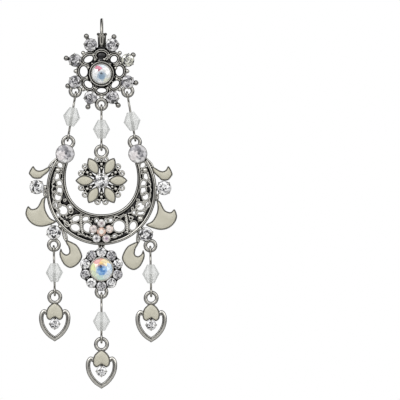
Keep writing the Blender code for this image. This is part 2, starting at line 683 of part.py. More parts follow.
def make_rosette(metal, clear, iridescent, parent):
    """The pierced scalloped plate with its bezel, cups, balls and three rings, and its nine stones."""
    center = at(0, ROSETTE_DROP)
    quarter_pitch = math.pi / ROSETTE_STONE_COUNT
    edge = []
    for turn in np.arange(32) * math.pi / 16:
        reach = ROSETTE_PLATE_RADIUS + ROSETTE_SCALLOP * math.cos(ROSETTE_STONE_COUNT * turn)
        edge.append((reach * math.cos(turn), reach * math.sin(turn)))
    pieces = [prism(edge, PLATE_FRONT, PLATE_BACK)]
    bezel_place = flat(0, -ROSETTE_BEZEL_DROP, ROSETTE_BEZEL_LIFT)
    pieces.append(bezel(bezel_place, ROSETTE_CENTER_RADIUS))
    wells = [bezel_well(bezel_place, ROSETTE_CENTER_RADIUS)]
    stone_number = 0
    for across, up, _angle in around(ROSETTE_STONE_COUNT, ROSETTE_STONE_CIRCLE, quarter_pitch):
        stone_number += 1
        pieces.append(cup(flat(across, up), ROSETTE_STONE_RADIUS))
        wells.append(well(flat(across, up), ROSETTE_STONE_RADIUS))
        seat = center + flat(across, up, GIRDLE_HEIGHT)
        finish(stone(ROSETTE_STONE_RADIUS), f"rosette_stone_{stone_number}", clear, parent, seat)
    for across, up, _angle in around(ROSETTE_STONE_COUNT, TIP_BALL_CIRCLE, quarter_pitch):
        pieces.append(ball(flat(across, up), TIP_BALL_RADIUS))
    for across, up, angle in around(ROSETTE_STONE_COUNT, EDGE_BALL_CIRCLE):
        under_ear_wire = abs(angle - math.pi / 2) < quarter_pitch
        if not under_ear_wire:
            pieces.append(ball(flat(across, up), EDGE_BALL_RADIUS))
    ring_places = (
        (-SIDE_RING_ACROSS, SIDE_RING_DROP),
        (SIDE_RING_ACROSS, SIDE_RING_DROP),
        (0.0, CENTER_RING_DROP),
    )
    for ring_across, ring_drop in ring_places:
        pieces.append(ring(flat(ring_across, ROSETTE_DROP - ring_drop), ROSETTE_RING_RADIUS, RING_TUBE))
    cutters = []
    half_length, half_width = ROSETTE_OPENING_LENGTH / 2, ROSETTE_OPENING_WIDTH / 2
    for across, up, angle in around(ROSETTE_STONE_COUNT, ROSETTE_OPENING_CIRCLE):
        cutters.append(opening(across, up, half_length, half_width, angle + math.pi / 2))
    combine(pieces[0], "DIFFERENCE", cutters)
    casting("rosette_frame", pieces, wells, metal, parent, center)
    finish(
        stone(ROSETTE_CENTER_RADIUS, LARGE_STONE_SIDES),
        "rosette_center_stone",
        iridescent,
        parent,
        center + bezel_place + FORWARD * GIRDLE_HEIGHT,
    )


def opening(across, up, long_half, short_half, turn):
    """A cutter for one oval opening, long enough to run through any plate."""
    oval = circle(1.0, OPENING_SIDES) * (long_half, short_half)
    cosine, sine = math.cos(turn), math.sin(turn)
    outline = oval @ np.array(((cosine, sine), (-sine, cosine))) + (across, up)
    return prism(outline, RAIL_DEPTH, RAIL_DEPTH)


def make_link(name, top, bottom, slide, wire, glass, parent):
    """A wire link with an eye round the ring wire at each end, and the bead threaded on it."""
    top, bottom = np.asarray(top), np.asarray(bottom)
    direction = unit(bottom - top)
    length = np.linalg.norm(bottom - top)
    sideways = unit(np.cross(direction, FORWARD))
    half = length / 2
    eyes = [link_eye(direction * side * half, direction, sideways) for side in (-1, 1)]
    shank_half = half - EYE_RADIUS
    shank = rod(LINK_WIRE_RADIUS, shank_half, WIRE_SIDES, (0, 0, 0), direction)
    middle = (top + bottom) / 2
    casting(f"{name.replace('_', '_link_')}", [shank, *eyes], [], wire, parent, middle)
    bead = make_bead(direction)
    finish(bead, f"{name.replace('_', '_bead_')}", glass, parent, middle + direction * slide)


def link_eye(center, direction, sideways):
    """A closed eye that stands front to back in the link's own direction."""
    loop = circle(EYE_RADIUS, RING_SIDES)
    path = center + loop[:, :1] * direction + loop[:, 1:] * FORWARD
    return sweep(path, circle(LINK_WIRE_RADIUS, WIRE_SIDES, math.pi / WIRE_SIDES), sideways, closed=True)


def make_bead(direction):
    """A faceted bicone with its bore along the link."""
    half = BEAD_LENGTH / 2
    bead = turned(
        ((0, -half), (BEAD_END_RADIUS, -half), (BEAD_WAIST_RADIUS, 0), (BEAD_END_RADIUS, half), (0, half)),
        BEAD_SIDES, (0, 0, 0), direction,
    )
    bore = LINK_WIRE_RADIUS + BORE_GAP
    combine(bead, "DIFFERENCE", [rod(bore, BEAD_LENGTH, CUP_SIDES, (0, 0, 0), direction)])
    return bead


def petal_outline(inset=0.0):
    """A pointed oval from the cup to the petal's tip, along +across."""
    length = PETAL_TIP - PETAL_START
    shares = np.array((0.0, 0.18, 0.38, 0.58, 0.78, 1.0))
    widths = PETAL_HALF_WIDTH * np.sin(math.pi * shares) ** 0.8
    upper = np.stack([PETAL_START + length * shares, widths], axis=1)
    lower = upper[1:-1][::-1] * (1, -1)
    return grown(np.concatenate([upper, lower]), -inset)


def rotated(outline, angle):
    cosine, sine = math.cos(angle), math.sin(angle)
    return np.asarray(outline) @ np.array(((cosine, sine), (-sine, cosine)))


def make_flower(metal, enamel, clear, parent):
    """The flower pendant: cup, six enamel trays, spokes with balls and eyelets between them, and its ring."""
    center = at(0, FLOWER_DROP)
    pieces = [cup(flat(0, 0), FLOWER_STONE_RADIUS, LARGE_CUP_SIDES)]
    pockets = []
    for number in range(PETAL_COUNT):
        angle = number * 2 * math.pi / PETAL_COUNT
        pieces.append(prism(rotated(petal_outline(), angle), LEAF_HEIGHT, LEAF_BACK))
        pockets.append(prism(rotated(petal_outline(LEAF_RIM), angle), LEAF_HEIGHT * 2, LEAF_FLOOR))
        outline = rotated(petal_outline(LEAF_RIM + ENAMEL_GAP), angle)
        petal = prism(outline, ENAMEL_HEIGHT, LEAF_FLOOR - ENAMEL_GAP)
        finish(petal, f"flower_petal_{number + 1}", enamel, parent, center)
        between = angle + math.pi / PETAL_COUNT
        spoke = np.array(((0, -1), (SPOKE_TIP, -1), (SPOKE_TIP, 1), (0, 1))) * (1, SPOKE_HALF_WIDTH)
        pieces.append(prism(rotated(spoke, between), LEAF_FLOOR, PLATE_BACK))
        bead_place = flat(FLOWER_BEAD_CIRCLE * math.cos(between), FLOWER_BEAD_CIRCLE * math.sin(between))
        pieces.append(ball(bead_place, FLOWER_BEAD_RADIUS))
        for spread in (-EYELET_SPREAD, EYELET_SPREAD):
            turn = between + spread
            place = flat(EYELET_CIRCLE * math.cos(turn), EYELET_CIRCLE * math.sin(turn))
            pieces.append(ring(place, EYELET_RADIUS, EYELET_TUBE, sides=8, wire_sides=4))
    pieces.append(ring(flat(0, FLOWER_DROP - FLOWER_RING_DROP), PENDANT_RING_RADIUS, RING_TUBE))
    pockets.append(well(flat(0, 0), FLOWER_STONE_RADIUS, LARGE_CUP_SIDES))
    casting("flower_frame", pieces, pockets, metal, parent, center)
    finish(stone(FLOWER_STONE_RADIUS), "flower_stone", clear, parent, center + flat(0, 0, GIRDLE_HEIGHT))


def outer_rail(turn):
    """The point of the outer rail at this turn from straight down, from the rail's own centre."""
    return RAIL_RADIUS * math.sin(turn), -RAIL_RADIUS * math.cos(turn)


def inner_rail(turn):
    power = 2 / INNER_RAIL_SQUARENESS
    across = math.copysign(abs(math.sin(turn)) ** power, math.sin(turn)) * INNER_RAIL_ACROSS
    down = math.copysign(abs(math.cos(turn)) ** power, math.cos(turn)) * INNER_RAIL_DOWN
    return across, INNER_RAIL_LIFT - down


def grooved_section(width, depth):
    """A rail's section: a flat back, and two ridges with a groove between them in front."""
    shares = np.array(((-0.5, -0.5), (-0.36, 0.5), (0.0, 0.24), (0.36, 0.5), (0.5, -0.5)))
    return shares * (width, depth)


def make_crescent(metal, clear, enamel, parent):
    """The pierced crescent as one casting, with its cups, leaf trays, knobs, rings, stones and enamel."""
    center = at(0, CRESCENT_DROP)
    outer_turns = np.linspace(-RAIL_END_TURN, RAIL_END_TURN, 33)
    inner_turns = np.linspace(-INNER_RAIL_END_TURN, INNER_RAIL_END_TURN, 27)
    outer_path = [flat(*outer_rail(turn)) for turn in outer_turns]
    inner_path = [flat(*inner_rail(turn)) for turn in inner_turns]
    plate_outline = [outer_rail(turn) for turn in outer_turns[1:-1]]
    plate_outline += [inner_rail(turn) for turn in inner_turns[-2:0:-1]]
    plate = prism(plate_outline, CRESCENT_PLATE_FRONT, CRESCENT_PLATE_BACK)
    cutters = []
    for across, up, long_half, short_half, degrees in CRESCENT_OPENINGS:
        for side in (-1, 1):
            turn = side * math.radians(degrees)
            place = np.array((side * across, up)) * RAIL_RADIUS
            cutters.append(opening(*place, long_half, short_half, turn))
    combine(plate, "DIFFERENCE", cutters)
    pieces = [
        plate,
        sweep(outer_path, grooved_section(RAIL_WIDTH, RAIL_DEPTH), FORWARD),
        sweep(inner_path, grooved_section(INNER_RAIL_WIDTH, RAIL_DEPTH), FORWARD),
    ]
    wells = []
    for side in (-1, 1):
        for across, up, share in CRESCENT_BALLS:
            place = flat(side * across * RAIL_RADIUS, up * RAIL_RADIUS, CRESCENT_PLATE_FRONT)
            pieces.append(ball(place, share * KNOB_RADIUS))
        rope = [
            flat(side * across * RAIL_RADIUS, up * RAIL_RADIUS, CRESCENT_PLATE_FRONT)
            for across, up in CRESCENT_ROPE
        ]
        pieces.append(sweep(rope, circle(ROPE_RADIUS, WIRE_SIDES), FORWARD))
        horn_reach = RAIL_RADIUS + HORN_STONE_REACH
        horn = (side * horn_reach * math.sin(HORN_STONE_TURN), -horn_reach * math.cos(HORN_STONE_TURN))
        pieces.append(cup(flat(*horn), HORN_STONE_RADIUS, LARGE_CUP_SIDES))
        wells.append(well(flat(*horn), HORN_STONE_RADIUS, LARGE_CUP_SIDES))
        ring_place = flat(side * HORN_RING_ACROSS, CRESCENT_DROP - HORN_RING_DROP)
        pieces.append(ring(ring_place, HORN_RING_RADIUS, RING_TUBE))
        word = "left" if side < 0 else "right"
        seat = center + flat(*horn, GIRDLE_HEIGHT)
        finish(stone(HORN_STONE_RADIUS), f"horn_stone_{word}", clear, parent, seat)
        across, drop = lower_ring(word)
        pieces.append(ring(flat(across, CRESCENT_DROP - drop), DROP_RING_RADIUS, RING_TUBE))
    for name, side, reach, degrees, share in SIDE_STONES:
        across, drop = beyond_rail(side, reach, degrees)
        place = flat(across, CRESCENT_DROP - drop)
        pieces.append(cup(place, SIDE_STONE_RADIUS))
        wells.append(well(place, SIDE_STONE_RADIUS))
        pieces.append(ball(place * (1 - share), JOINT_BALL_RADIUS))
        seat = center + place + FORWARD * GIRDLE_HEIGHT
        finish(stone(SIDE_STONE_RADIUS), f"side_stone_{name}", clear, parent, seat)
    for name, side, shares, width, height, reach, degrees, stem_reach, stem_degrees in LEAVES:
        across, drop = beyond_rail(side, reach, degrees)
        outline = (np.array(shares) - 0.5) * (width, height)
        outline = outline * (-side, 1) + (across, CRESCENT_DROP - drop)
        pieces.append(prism(outline, LEAF_HEIGHT, LEAF_BACK))
        wells.append(prism(grown(outline, -LEAF_RIM), LEAF_HEIGHT * 2, -LEAF_FLOOR))
        stem_across, stem_drop = beyond_rail(side, stem_reach, stem_degrees)
        pieces.append(leaf_stem(outline, (stem_across, CRESCENT_DROP - stem_drop)))
        leaf = prism(grown(outline, -LEAF_RIM - ENAMEL_GAP), ENAMEL_HEIGHT, -LEAF_FLOOR - ENAMEL_GAP)
        finish(leaf, f"leaf_{name}", enamel, parent, center)
    casting("crescent_frame", pieces, wells, metal, parent, center)


def leaf_stem(outline, end):
    """A short bar from the leaf's nearest corner to the metal that carries it."""
    end = np.array(end)
    nearest = outline[np.argmin(np.linalg.norm(outline - end, axis=1))]
    inside = nearest + unit(nearest - end) * LEAF_RIM
    path = [flat(*inside), flat(*end)]
    return sweep(path, circle(LEAF_STEM_RADIUS, WIRE_SIDES, math.pi / 6), FORWARD)


def make_blossom(iridescent, parent):
    """Six small stones in their cups, fused on one core."""
    rim = GIRDLE_HEIGHT - SEAT_LIFT
    pieces = [set_stone(flat(0, 0), BLOSSOM_CORE_RADIUS, BLOSSOM_DEPTH)]
    disc = circle(BLOSSOM_CIRCLE, 2 * BLOSSOM_PETAL_COUNT)
    pieces.append(prism(disc, rim - CUP_FLOOR / 2, BLOSSOM_DEPTH - rim - CUP_FLOOR / 4))
    for across, up, _angle in around(BLOSSOM_PETAL_COUNT, BLOSSOM_CIRCLE, math.pi / 2):
        pieces.append(set_stone(flat(across, up, -GIRDLE_THICKNESS / 2), BLOSSOM_STONE_RADIUS, BLOSSOM_DEPTH))
    lift = RAIL_DEPTH / 2 + BLOSSOM_DEPTH - rim + NECK_GAP
    casting("blossom", pieces, [], iridescent, parent, at(0, BLOSSOM_DROP, lift))


def make_halo(metal, iridescent, parent):
    """Ten set stones round a bezel, with the neck above and the ring below, and the centre stone."""
    center = at(0, HALO_DROP)
    pieces = [bezel(flat(0, 0), HALO_CENTER_RADIUS)]
    for across, up, _angle in around(HALO_STONE_COUNT, HALO_CIRCLE, math.pi / 2):
        pieces.append(set_stone(flat(across, up, -GIRDLE_THICKNESS), HALO_STONE_RADIUS, HALO_DEPTH))
    neck_top = HALO_DROP - CRESCENT_DROP - RAIL_RADIUS - RAIL_WIDTH / 2 - NECK_GAP
    neck_low = HALO_CIRCLE
    neck_half = HALO_NECK_WIDTH / 2
    pieces.append(block((-neck_half, -PLATE_FRONT, neck_low), (neck_half, PLATE_BACK, neck_top)))
    pieces.append(ring(flat(0, HALO_DROP - HALO_RING_DROP), DROP_RING_RADIUS, RING_TUBE))
    casting("halo", pieces, [bezel_well(flat(0, 0), HALO_CENTER_RADIUS)], metal, parent, center)
    seat = center + flat(0, 0, GIRDLE_HEIGHT)
    finish(stone(HALO_CENTER_RADIUS, LARGE_STONE_SIDES), "halo_center_stone", iridescent, parent, seat)


def heart_half(shares, half_width, top, bottom):
    """The right half of a heart's outline from its shares, across and up from the ring's centre."""
    return [(u * half_width, -bottom + v * (bottom - top)) for u, v in shares]


def make_heart(name, center, metal, enamel, clear, parent):
    """A heart drop: its ring, the enamel's tray, the grooved frame and the stone's cup below the tray."""
    right = heart_half(HEART_FRAME_SHARES, HEART_FRAME_HALF_WIDTH, HEART_FRAME_TOP, HEART_FRAME_TIP)
    left = [(-u, v) for u, v in right]
    path = [flat(u, v) for u, v in left] + [flat(0, -HEART_FRAME_TIP)] + [flat(u, v) for u, v in right[::-1]]
    frame = sweep(path, grooved_section(HEART_WIRE_WIDTH, HEART_WIRE_DEPTH), FORWARD)
    right = heart_half(HEART_ENAMEL_SHARES, HEART_ENAMEL_HALF_WIDTH, HEART_ENAMEL_TOP, HEART_ENAMEL_BOTTOM)
    left = [(-u, v) for u, v in right[::-1]]
    notch = (0, -HEART_ENAMEL_BOTTOM + HEART_NOTCH_SHARE * (HEART_ENAMEL_BOTTOM - HEART_ENAMEL_TOP))
    outline = np.array([(0, -HEART_ENAMEL_TOP), *right, notch, *left])
    tray = prism(outline, LEAF_HEIGHT, LEAF_BACK)
    pocket = prism(grown(outline, -LEAF_RIM), LEAF_HEIGHT * 2, -LEAF_FLOOR)
    holder = cup(flat(0, -HEART_STONE_DROP), HEART_STONE_RADIUS)
    post_ends = [flat(0, notch[1] + LEAF_RIM), flat(0, HEART_STONE_RADIUS - CUP_WALL - HEART_STONE_DROP)]
    post = sweep(post_ends, circle(HEART_POST_RADIUS, WIRE_SIDES), FORWARD)
    hanger = ring(flat(0, 0), PENDANT_RING_RADIUS, RING_TUBE)
    hollow = well(flat(0, -HEART_STONE_DROP), HEART_STONE_RADIUS)
    pieces = [frame, tray, holder, post, hanger]
    casting(f"heart_frame_{name}", pieces, [pocket, hollow], metal, parent, center)
    heart = prism(grown(outline, -LEAF_RIM - ENAMEL_GAP), ENAMEL_HEIGHT, -LEAF_FLOOR - ENAMEL_GAP)
    finish(heart, f"heart_enamel_{name}", enamel, parent, center)
    seat = center + flat(0, -HEART_STONE_DROP, GIRDLE_HEIGHT)
    finish(stone(HEART_STONE_RADIUS), f"heart_stone_{name}", clear, parent, seat)


def make_links(wire, glass, crescent_pivot, flower_pivot):
    """The six beaded links between the rings above and the rings below them."""
    for side, word in ((-1, "left"), (1, "right")):
        top = at(side * SIDE_RING_ACROSS, SIDE_RING_DROP + ROSETTE_RING_RADIUS)
        bottom = at(side * HORN_RING_ACROSS, HORN_RING_DROP - HORN_RING_RADIUS)
        make_link(f"upper_{word}", top, bottom, BEAD_SLIDES[f"upper_{word}"], wire, glass, crescent_pivot)
        ring_across, ring_drop = lower_ring(word)
        heart_across, heart_drop = heart_ring(word)
        top = at(ring_across, ring_drop + DROP_RING_RADIUS)
        bottom = at(heart_across, heart_drop - PENDANT_RING_RADIUS)
        make_link(f"lower_{word}", top, bottom, BEAD_SLIDES[f"lower_{word}"], wire, glass, crescent_pivot)
    top = at(0, CENTER_RING_DROP + ROSETTE_RING_RADIUS)
    bottom = at(0, FLOWER_RING_DROP - PENDANT_RING_RADIUS)
    make_link("upper_center", top, bottom, BEAD_SLIDES["upper_center"], wire, glass, flower_pivot)
    top = at(0, HALO_RING_DROP + DROP_RING_RADIUS)
    bottom = at(0, heart_ring("center")[1] - PENDANT_RING_RADIUS)
    make_link("lower_center", top, bottom, BEAD_SLIDES["lower_center"], wire, glass, crescent_pivot)


def main():
    remove_all_objects()
    metal = make_material("antique_silver", (0.42, 0.41, 0.39), 0.30, 1.0)
    wire = make_material("silver_wire", (0.62, 0.61, 0.57), 0.22, 1.0)
    clear = make_material("clear_crystal", (0.80, 0.80, 0.83), 0.05, 0.0)
    iridescent = make_material("iridescent_crystal", (0.72, 0.80, 0.88), 0.05, 0.0)
    glass = make_material("milky_glass", (0.78, 0.79, 0.78), 0.15, 0.0)
    enamel = make_material("cream_enamel", (0.58, 0.54, 0.43), 0.35, 0.0)
    body_pivot = pivot("body_pivot", (0, 0, 0))
    lever_pivot = pivot("lever_pivot", (0, FACE_Y + HINGE_BEHIND_FACE, -HINGE_DROP))
    crescent_pivot = pivot("crescent_pivot", at(0, SIDE_RING_DROP + ROSETTE_RING_RADIUS))
    flower_pivot = pivot("flower_pivot", at(0, CENTER_RING_DROP + ROSETTE_RING_RADIUS))
    make_ear_wire(wire, body_pivot)
    make_ear_lever(wire, lever_pivot)
    make_rosette(metal, clear, iridescent, body_pivot)
    make_flower(metal, enamel, clear, flower_pivot)
    make_crescent(metal, clear, enamel, crescent_pivot)
    make_blossom(iridescent, crescent_pivot)
    make_halo(metal, iridescent, crescent_pivot)
    make_links(wire, glass, crescent_pivot, flower_pivot)
    for name in HEART_FALLS:
        across, drop = heart_ring(name)
        make_heart(name, at(across, drop), metal, enamel, clear, crescent_pivot)


main()
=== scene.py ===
"""Dresses the chandelier earring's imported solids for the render.

Sizes are millimetres until a mesh is made. The jewel's face looks towards -Y, +Z is up, and the origin is
the underside of the ear wire's crown. A height is the distance forward of the jewel's middle plane.
"""

import logging
import math
from collections.abc import Callable, Sequence
from dataclasses import dataclass, field
from enum import Enum

import bpy
import numpy as np
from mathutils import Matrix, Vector
from mathutils.geometry import delaunay_2d_cdt


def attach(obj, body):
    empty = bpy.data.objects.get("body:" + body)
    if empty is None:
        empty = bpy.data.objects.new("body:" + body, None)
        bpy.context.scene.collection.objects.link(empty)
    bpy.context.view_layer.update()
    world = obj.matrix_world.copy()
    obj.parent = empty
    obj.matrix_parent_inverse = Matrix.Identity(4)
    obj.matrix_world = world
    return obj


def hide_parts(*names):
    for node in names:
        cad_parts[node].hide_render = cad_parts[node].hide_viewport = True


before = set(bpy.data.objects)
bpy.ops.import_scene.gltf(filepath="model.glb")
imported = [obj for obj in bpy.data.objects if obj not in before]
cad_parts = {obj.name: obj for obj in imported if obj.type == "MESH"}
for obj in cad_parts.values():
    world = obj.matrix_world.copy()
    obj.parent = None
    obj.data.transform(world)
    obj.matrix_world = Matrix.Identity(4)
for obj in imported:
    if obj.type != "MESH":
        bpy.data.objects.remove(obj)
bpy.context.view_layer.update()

LOG = logging.getLogger("earring")
MM = 0.001
FACE_Y = -3.2
FORWARD = np.array((0.0, -1.0, 0.0))
ACROSS = np.array((1.0, 0.0, 0.0))
UPWARD = np.array((0.0, 0.0, 1.0))

RING_TUBE = 0.43
LINK_WIRE = 0.25
EYE_RADIUS = 0.90
GIRDLE_HEIGHT = 0.75
CUP_RIM = 0.40


class Body(Enum):
    """The bodies that the pieces ride on."""

    ROOT = "root"
    LEVER = "lever"
    CRESCENT = "crescent_drop"
    FLOWER = "flower_drop"


class Side(Enum):
    """The jewel's left and right as the viewer sees them."""

    LEFT = -1
    RIGHT = 1


# Shapes


@dataclass
class Shell:
    """A closed surface, or several, as whole arrays.

    Args:
        points: corner places in millimetres, one row each.
        corners: the faces' corner numbers, one face after the other.
        sizes: the number of corners of each face.
        smooth: whether each face is shaded smooth.
        tint: each face's colour as linear red, green and blue.
    """

    points: np.ndarray
    corners: np.ndarray
    sizes: np.ndarray
    smooth: np.ndarray
    tint: np.ndarray

    def moved(self, offset: Sequence[float]) -> "Shell":
        """The shell shifted by an offset in millimetres."""
        return Shell(
            self.points + np.asarray(offset, float), self.corners, self.sizes, self.smooth, self.tint
        )

    def mirrored(self) -> "Shell":
        """Mirrors the shell left to right, its corners taken backwards so that it still faces out.

        Returns:
            The mirrored shell.
        """
        starts = np.cumsum(self.sizes) - self.sizes
        index = np.arange(len(self.corners))
        owner = np.repeat(np.arange(len(self.sizes)), self.sizes)
        backwards = starts[owner] * 2 + self.sizes[owner] - 1 - index
        return Shell(self.points * (-1, 1, 1), self.corners[backwards], self.sizes, self.smooth, self.tint)


def white(count: int) -> np.ndarray:
    """White tints for this many faces."""
    return np.ones((count, 3))


def join(shells: Sequence[Shell]) -> Shell:
    """Puts shells side by side in one, with their corner numbers moved on.

    Args:
        shells: the shells to join.

    Returns:
        One shell that holds them all.
    """
    counts = np.cumsum([0] + [len(shell.points) for shell in shells[:-1]])
    return Shell(
        np.concatenate([shell.points for shell in shells]),
        np.concatenate([shell.corners + first for shell, first in zip(shells, counts)]),
        np.concatenate([shell.sizes for shell in shells]),
        np.concatenate([shell.smooth for shell in shells]),
        np.concatenate([shell.tint for shell in shells]),
    )


def toned(shell: Shell, tone: float) -> Shell:
    """The shell with its colours multiplied by a tone."""
    return Shell(shell.points, shell.corners, shell.sizes, shell.smooth, shell.tint * tone)


def unit(vectors: np.ndarray) -> np.ndarray:
    """Each vector divided by its own length."""
    return vectors / np.maximum(np.linalg.norm(vectors, axis=-1, keepdims=True), 1e-12)


def circle(count: int, radius: float = 1.0, turn: float = 0.0) -> np.ndarray:
    """Points on a circle: the radius times the cosine and sine of evenly spaced angles."""
    angles = turn + np.arange(count) * 2 * math.pi / count
    return np.stack([np.cos(angles), np.sin(angles)], axis=1) * radius


def on_face(flat: np.ndarray, height: np.ndarray | float = 0.0) -> np.ndarray:
    """Sets flat points in front of the middle plane.

    Args:
        flat: points across and up.
        height: how far forward each stands.

    Returns:
        The points in space.
    """
    flat = np.asarray(flat, float)
    depth = FACE_Y - np.broadcast_to(np.asarray(height, float), flat.shape[:-1])
    return np.stack([flat[..., 0], depth, flat[..., 1]], axis=-1)


def loft(
    rows: np.ndarray, closed: bool = False, smooth: bool = True, tint: np.ndarray | None = None
) -> Shell:
    """A skin over rows of points, each row a closed loop; face (r, c) joins row r to row r + 1.

    Args:
        rows: points, first by row and then by place in the row.
        closed: whether the last row runs on into the first, and not into a pole in each end row's middle.
        smooth: whether it is shaded smooth.
        tint: a colour for each column, or None for white.

    Returns:
        The closed shell, facing outwards.
    """
    count, columns = rows.shape[:2]
    points = rows.reshape(-1, 3)
    row, column = np.meshgrid(np.arange(count if closed else count - 1), np.arange(columns), indexing="ij")
    first, second = row * columns, (row + 1) % count * columns
    beside = (column + 1) % columns
    quads = np.stack([first + column, first + beside, second + beside, second + column], axis=-1)
    quads = quads.reshape(-1, 4)
    colours = white(len(quads)) if tint is None else np.tile(tint, (len(row), 1))
    corners, sizes = quads.reshape(-1), np.full(len(quads), 4)
    if not closed:
        loop = np.arange(columns)
        low = np.stack([np.full(columns, len(points)), (loop + 1) % columns, loop], axis=1)
        last = (count - 1) * columns
        high = np.stack([np.full(columns, len(points) + 1), last + loop, last + (loop + 1) % columns], axis=1)
        points = np.concatenate([points, rows[0].mean(axis=0)[None], rows[-1].mean(axis=0)[None]])
        corners = np.concatenate([corners, low.reshape(-1), high.reshape(-1)])
        sizes = np.concatenate([sizes, np.full(2 * columns, 3)])
        colours = np.concatenate([colours, white(2 * columns) * colours[-1]])
    shell = Shell(points, corners, sizes, np.full(len(sizes), smooth), colours)
    a, b, c = points[quads[:, 0]], points[quads[:, 1]], points[quads[:, 2]]
    d = points[quads[:, 3]]
    middle = points.mean(axis=0)
    volume = np.einsum("ij,ij->i", a - middle, np.cross(b - middle, c - middle))
    volume = volume + np.einsum("ij,ij->i", a - middle, np.cross(c - middle, d - middle))
    if volume.sum() < 0:
        flipped = shell.mirrored()
        shell = Shell(points, flipped.corners, sizes, shell.smooth, colours)
    return shell


def carried(
    path: np.ndarray,
    section: np.ndarray,
    scale: np.ndarray | float = 1.0,
    normal: np.ndarray = FORWARD,
    closed: bool = False,
    smooth: bool = True,
    tint: np.ndarray | None = None,
) -> Shell:
    """A section carried along a path and mitred at its bends: path + scale * (u * side + v * normal).

    Args:
        path: points along the middle.
        section: one section, or one for each path point: its points to the side and along the normal.
        scale: how far the section is scaled at each path point.
        normal: the direction of the section's second axis.
        closed: whether the path is a closed loop.
        smooth: whether it is shaded smooth.
        tint: a colour for each of the section's points.

    Returns:
        The closed shell.
    """
    path = np.asarray(path, float)
    before, after = np.roll(path, 1, axis=0), np.roll(path, -1, axis=0)
    if not closed:
        before[0] = 2 * path[0] - path[1]
        after[-1] = 2 * path[-1] - path[-2]
    arriving = unit(path - before)
    tangent = unit(arriving + unit(after - path))
    mitre = 1 / np.clip((tangent * arriving).sum(axis=1), 0.5, 1.0)
    side = unit(np.cross(tangent, normal)) * mitre[:, None]
    scaled = np.broadcast_to(np.asarray(scale, float), len(path))[:, None, None]
    sections = np.broadcast_to(section, (len(path), *section.shape[-2:]))
    rows = path[:, None] + scaled * (
        sections[..., :1] * side[:, None] + sections[..., 1:] * np.asarray(normal)
    )
    return loft(rows, closed, smooth, tint)


def tube(
    path: np.ndarray, radius: np.ndarray | float, sides: int = 10, normal: np.ndarray = FORWARD,
    closed: bool = False,
) -> Shell:
    """A round wire along a path; the radius may change along it.

    Args:
        path: points along the middle.
        radius: the wire's radius, one for all or one for each point.
        sides: the number of sides of its section.
        normal: a direction square to the path's plane.
        closed: whether the path is a closed loop.

    Returns:
        The closed shell.
    """
    return carried(path, circle(sides, turn=math.pi / sides), radius, normal, closed)


def ridge(flat: np.ndarray, wire: float, height: float, depth: float = 0.34, closed: bool = False) -> Shell:
    """A raised line whose crown keeps the metal's bright colour and whose flanks and back are painted black:
    painted shade where they turn away from the front, together with the oxide along its foot.

    Args:
        flat: points along its middle, across and up.
        wire: half its width.
        height: how far forward its crown reaches.
        depth: half its depth.
        closed: whether it runs back to its start.

    Returns:
        The closed shell.
    """
    angles = (np.arange(14) + 0.5) * 2 * math.pi / 14
    section = np.stack([wire * np.cos(angles), depth * np.sin(angles)], axis=1)
    middles = angles + math.pi / 14
    # Faces off the crown, the flanks and the back, are painted black: painted shade where they turn away,
    # with the oxide at the foot.
    crown = (np.sin(middles) > 0.2) & (np.abs(np.cos(middles)) < 0.70)
    tint = np.where(crown[:, None], 1.0, 0.07) * white(14)
    return carried(on_face(flat, height - depth), section, closed=closed, tint=tint)


def turned(
    profile: Sequence[tuple[float, float]],
    center: np.ndarray,
    axis: np.ndarray = FORWARD,
    sides: int = 32,
    turn: float = 0.0,
    smooth: bool = True,
) -> Shell:
    """A profile turned about an axis: center + height * axis + radius * (cos, sin) of the angle.

    Args:
        profile: pairs of radius and height, off the axis.
        center: the point on the axis that heights start from.
        axis: the axis.
        sides: the number of sides.
        turn: the angle of the first side.
        smooth: whether it is shaded smooth.

    Returns:
        The closed shell.
    """
    axis = unit(np.asarray(axis, float))
    first = unit(np.cross(UPWARD if abs(axis[2]) < 0.9 else ACROSS, axis))
    second = np.cross(axis, first)
    loop = circle(sides, turn=turn)
    shape = np.asarray(profile, float)
    around = loop[:, :1] * first + loop[:, 1:] * second
    rows = np.asarray(center) + shape[:, 1, None, None] * axis + shape[:, 0, None, None] * around
    return loft(rows, smooth=smooth)


def ball(center: np.ndarray, radius: float, rows: int = 7, sides: int = 12) -> Shell:
    """A ball: a half circle of radius and height, turned."""
    steps = np.linspace(-math.pi / 2 + 0.12, math.pi / 2 - 0.12, rows)
    return turned(np.stack([radius * np.cos(steps), radius * np.sin(steps)], axis=1), center, sides=sides)


def torus(center: np.ndarray, radius: float, wire: float, sides: int = 40, wire_sides: int = 18) -> Shell:
    """A ring in the face's plane: a wire along a circle, painted black where its flanks turn away: painted
    shade.

    Args:
        center: the ring's middle.
        radius: the circle's radius.
        wire: the wire's radius.
        sides: how many steps the circle has.
        wire_sides: how many steps the wire's section has.

    Returns:
        The closed shell.
    """
    loop = circle(sides, radius)
    path = np.asarray(center) + loop[:, :1] * ACROSS + loop[:, 1:] * UPWARD
    section = circle(wire_sides, turn=math.pi / wire_sides)
    middles = (np.arange(wire_sides) + 1) * 2 * math.pi / wire_sides
    # Painted shade: the wire's tint runs from 0.86 on its front to 0.06 where its flanks turn away.
    tone = np.interp(np.abs(np.cos(middles)), (0.45, 0.74), (0.86, 0.06))
    return carried(path, section, wire, closed=True, tint=tone[:, None] * white(wire_sides))


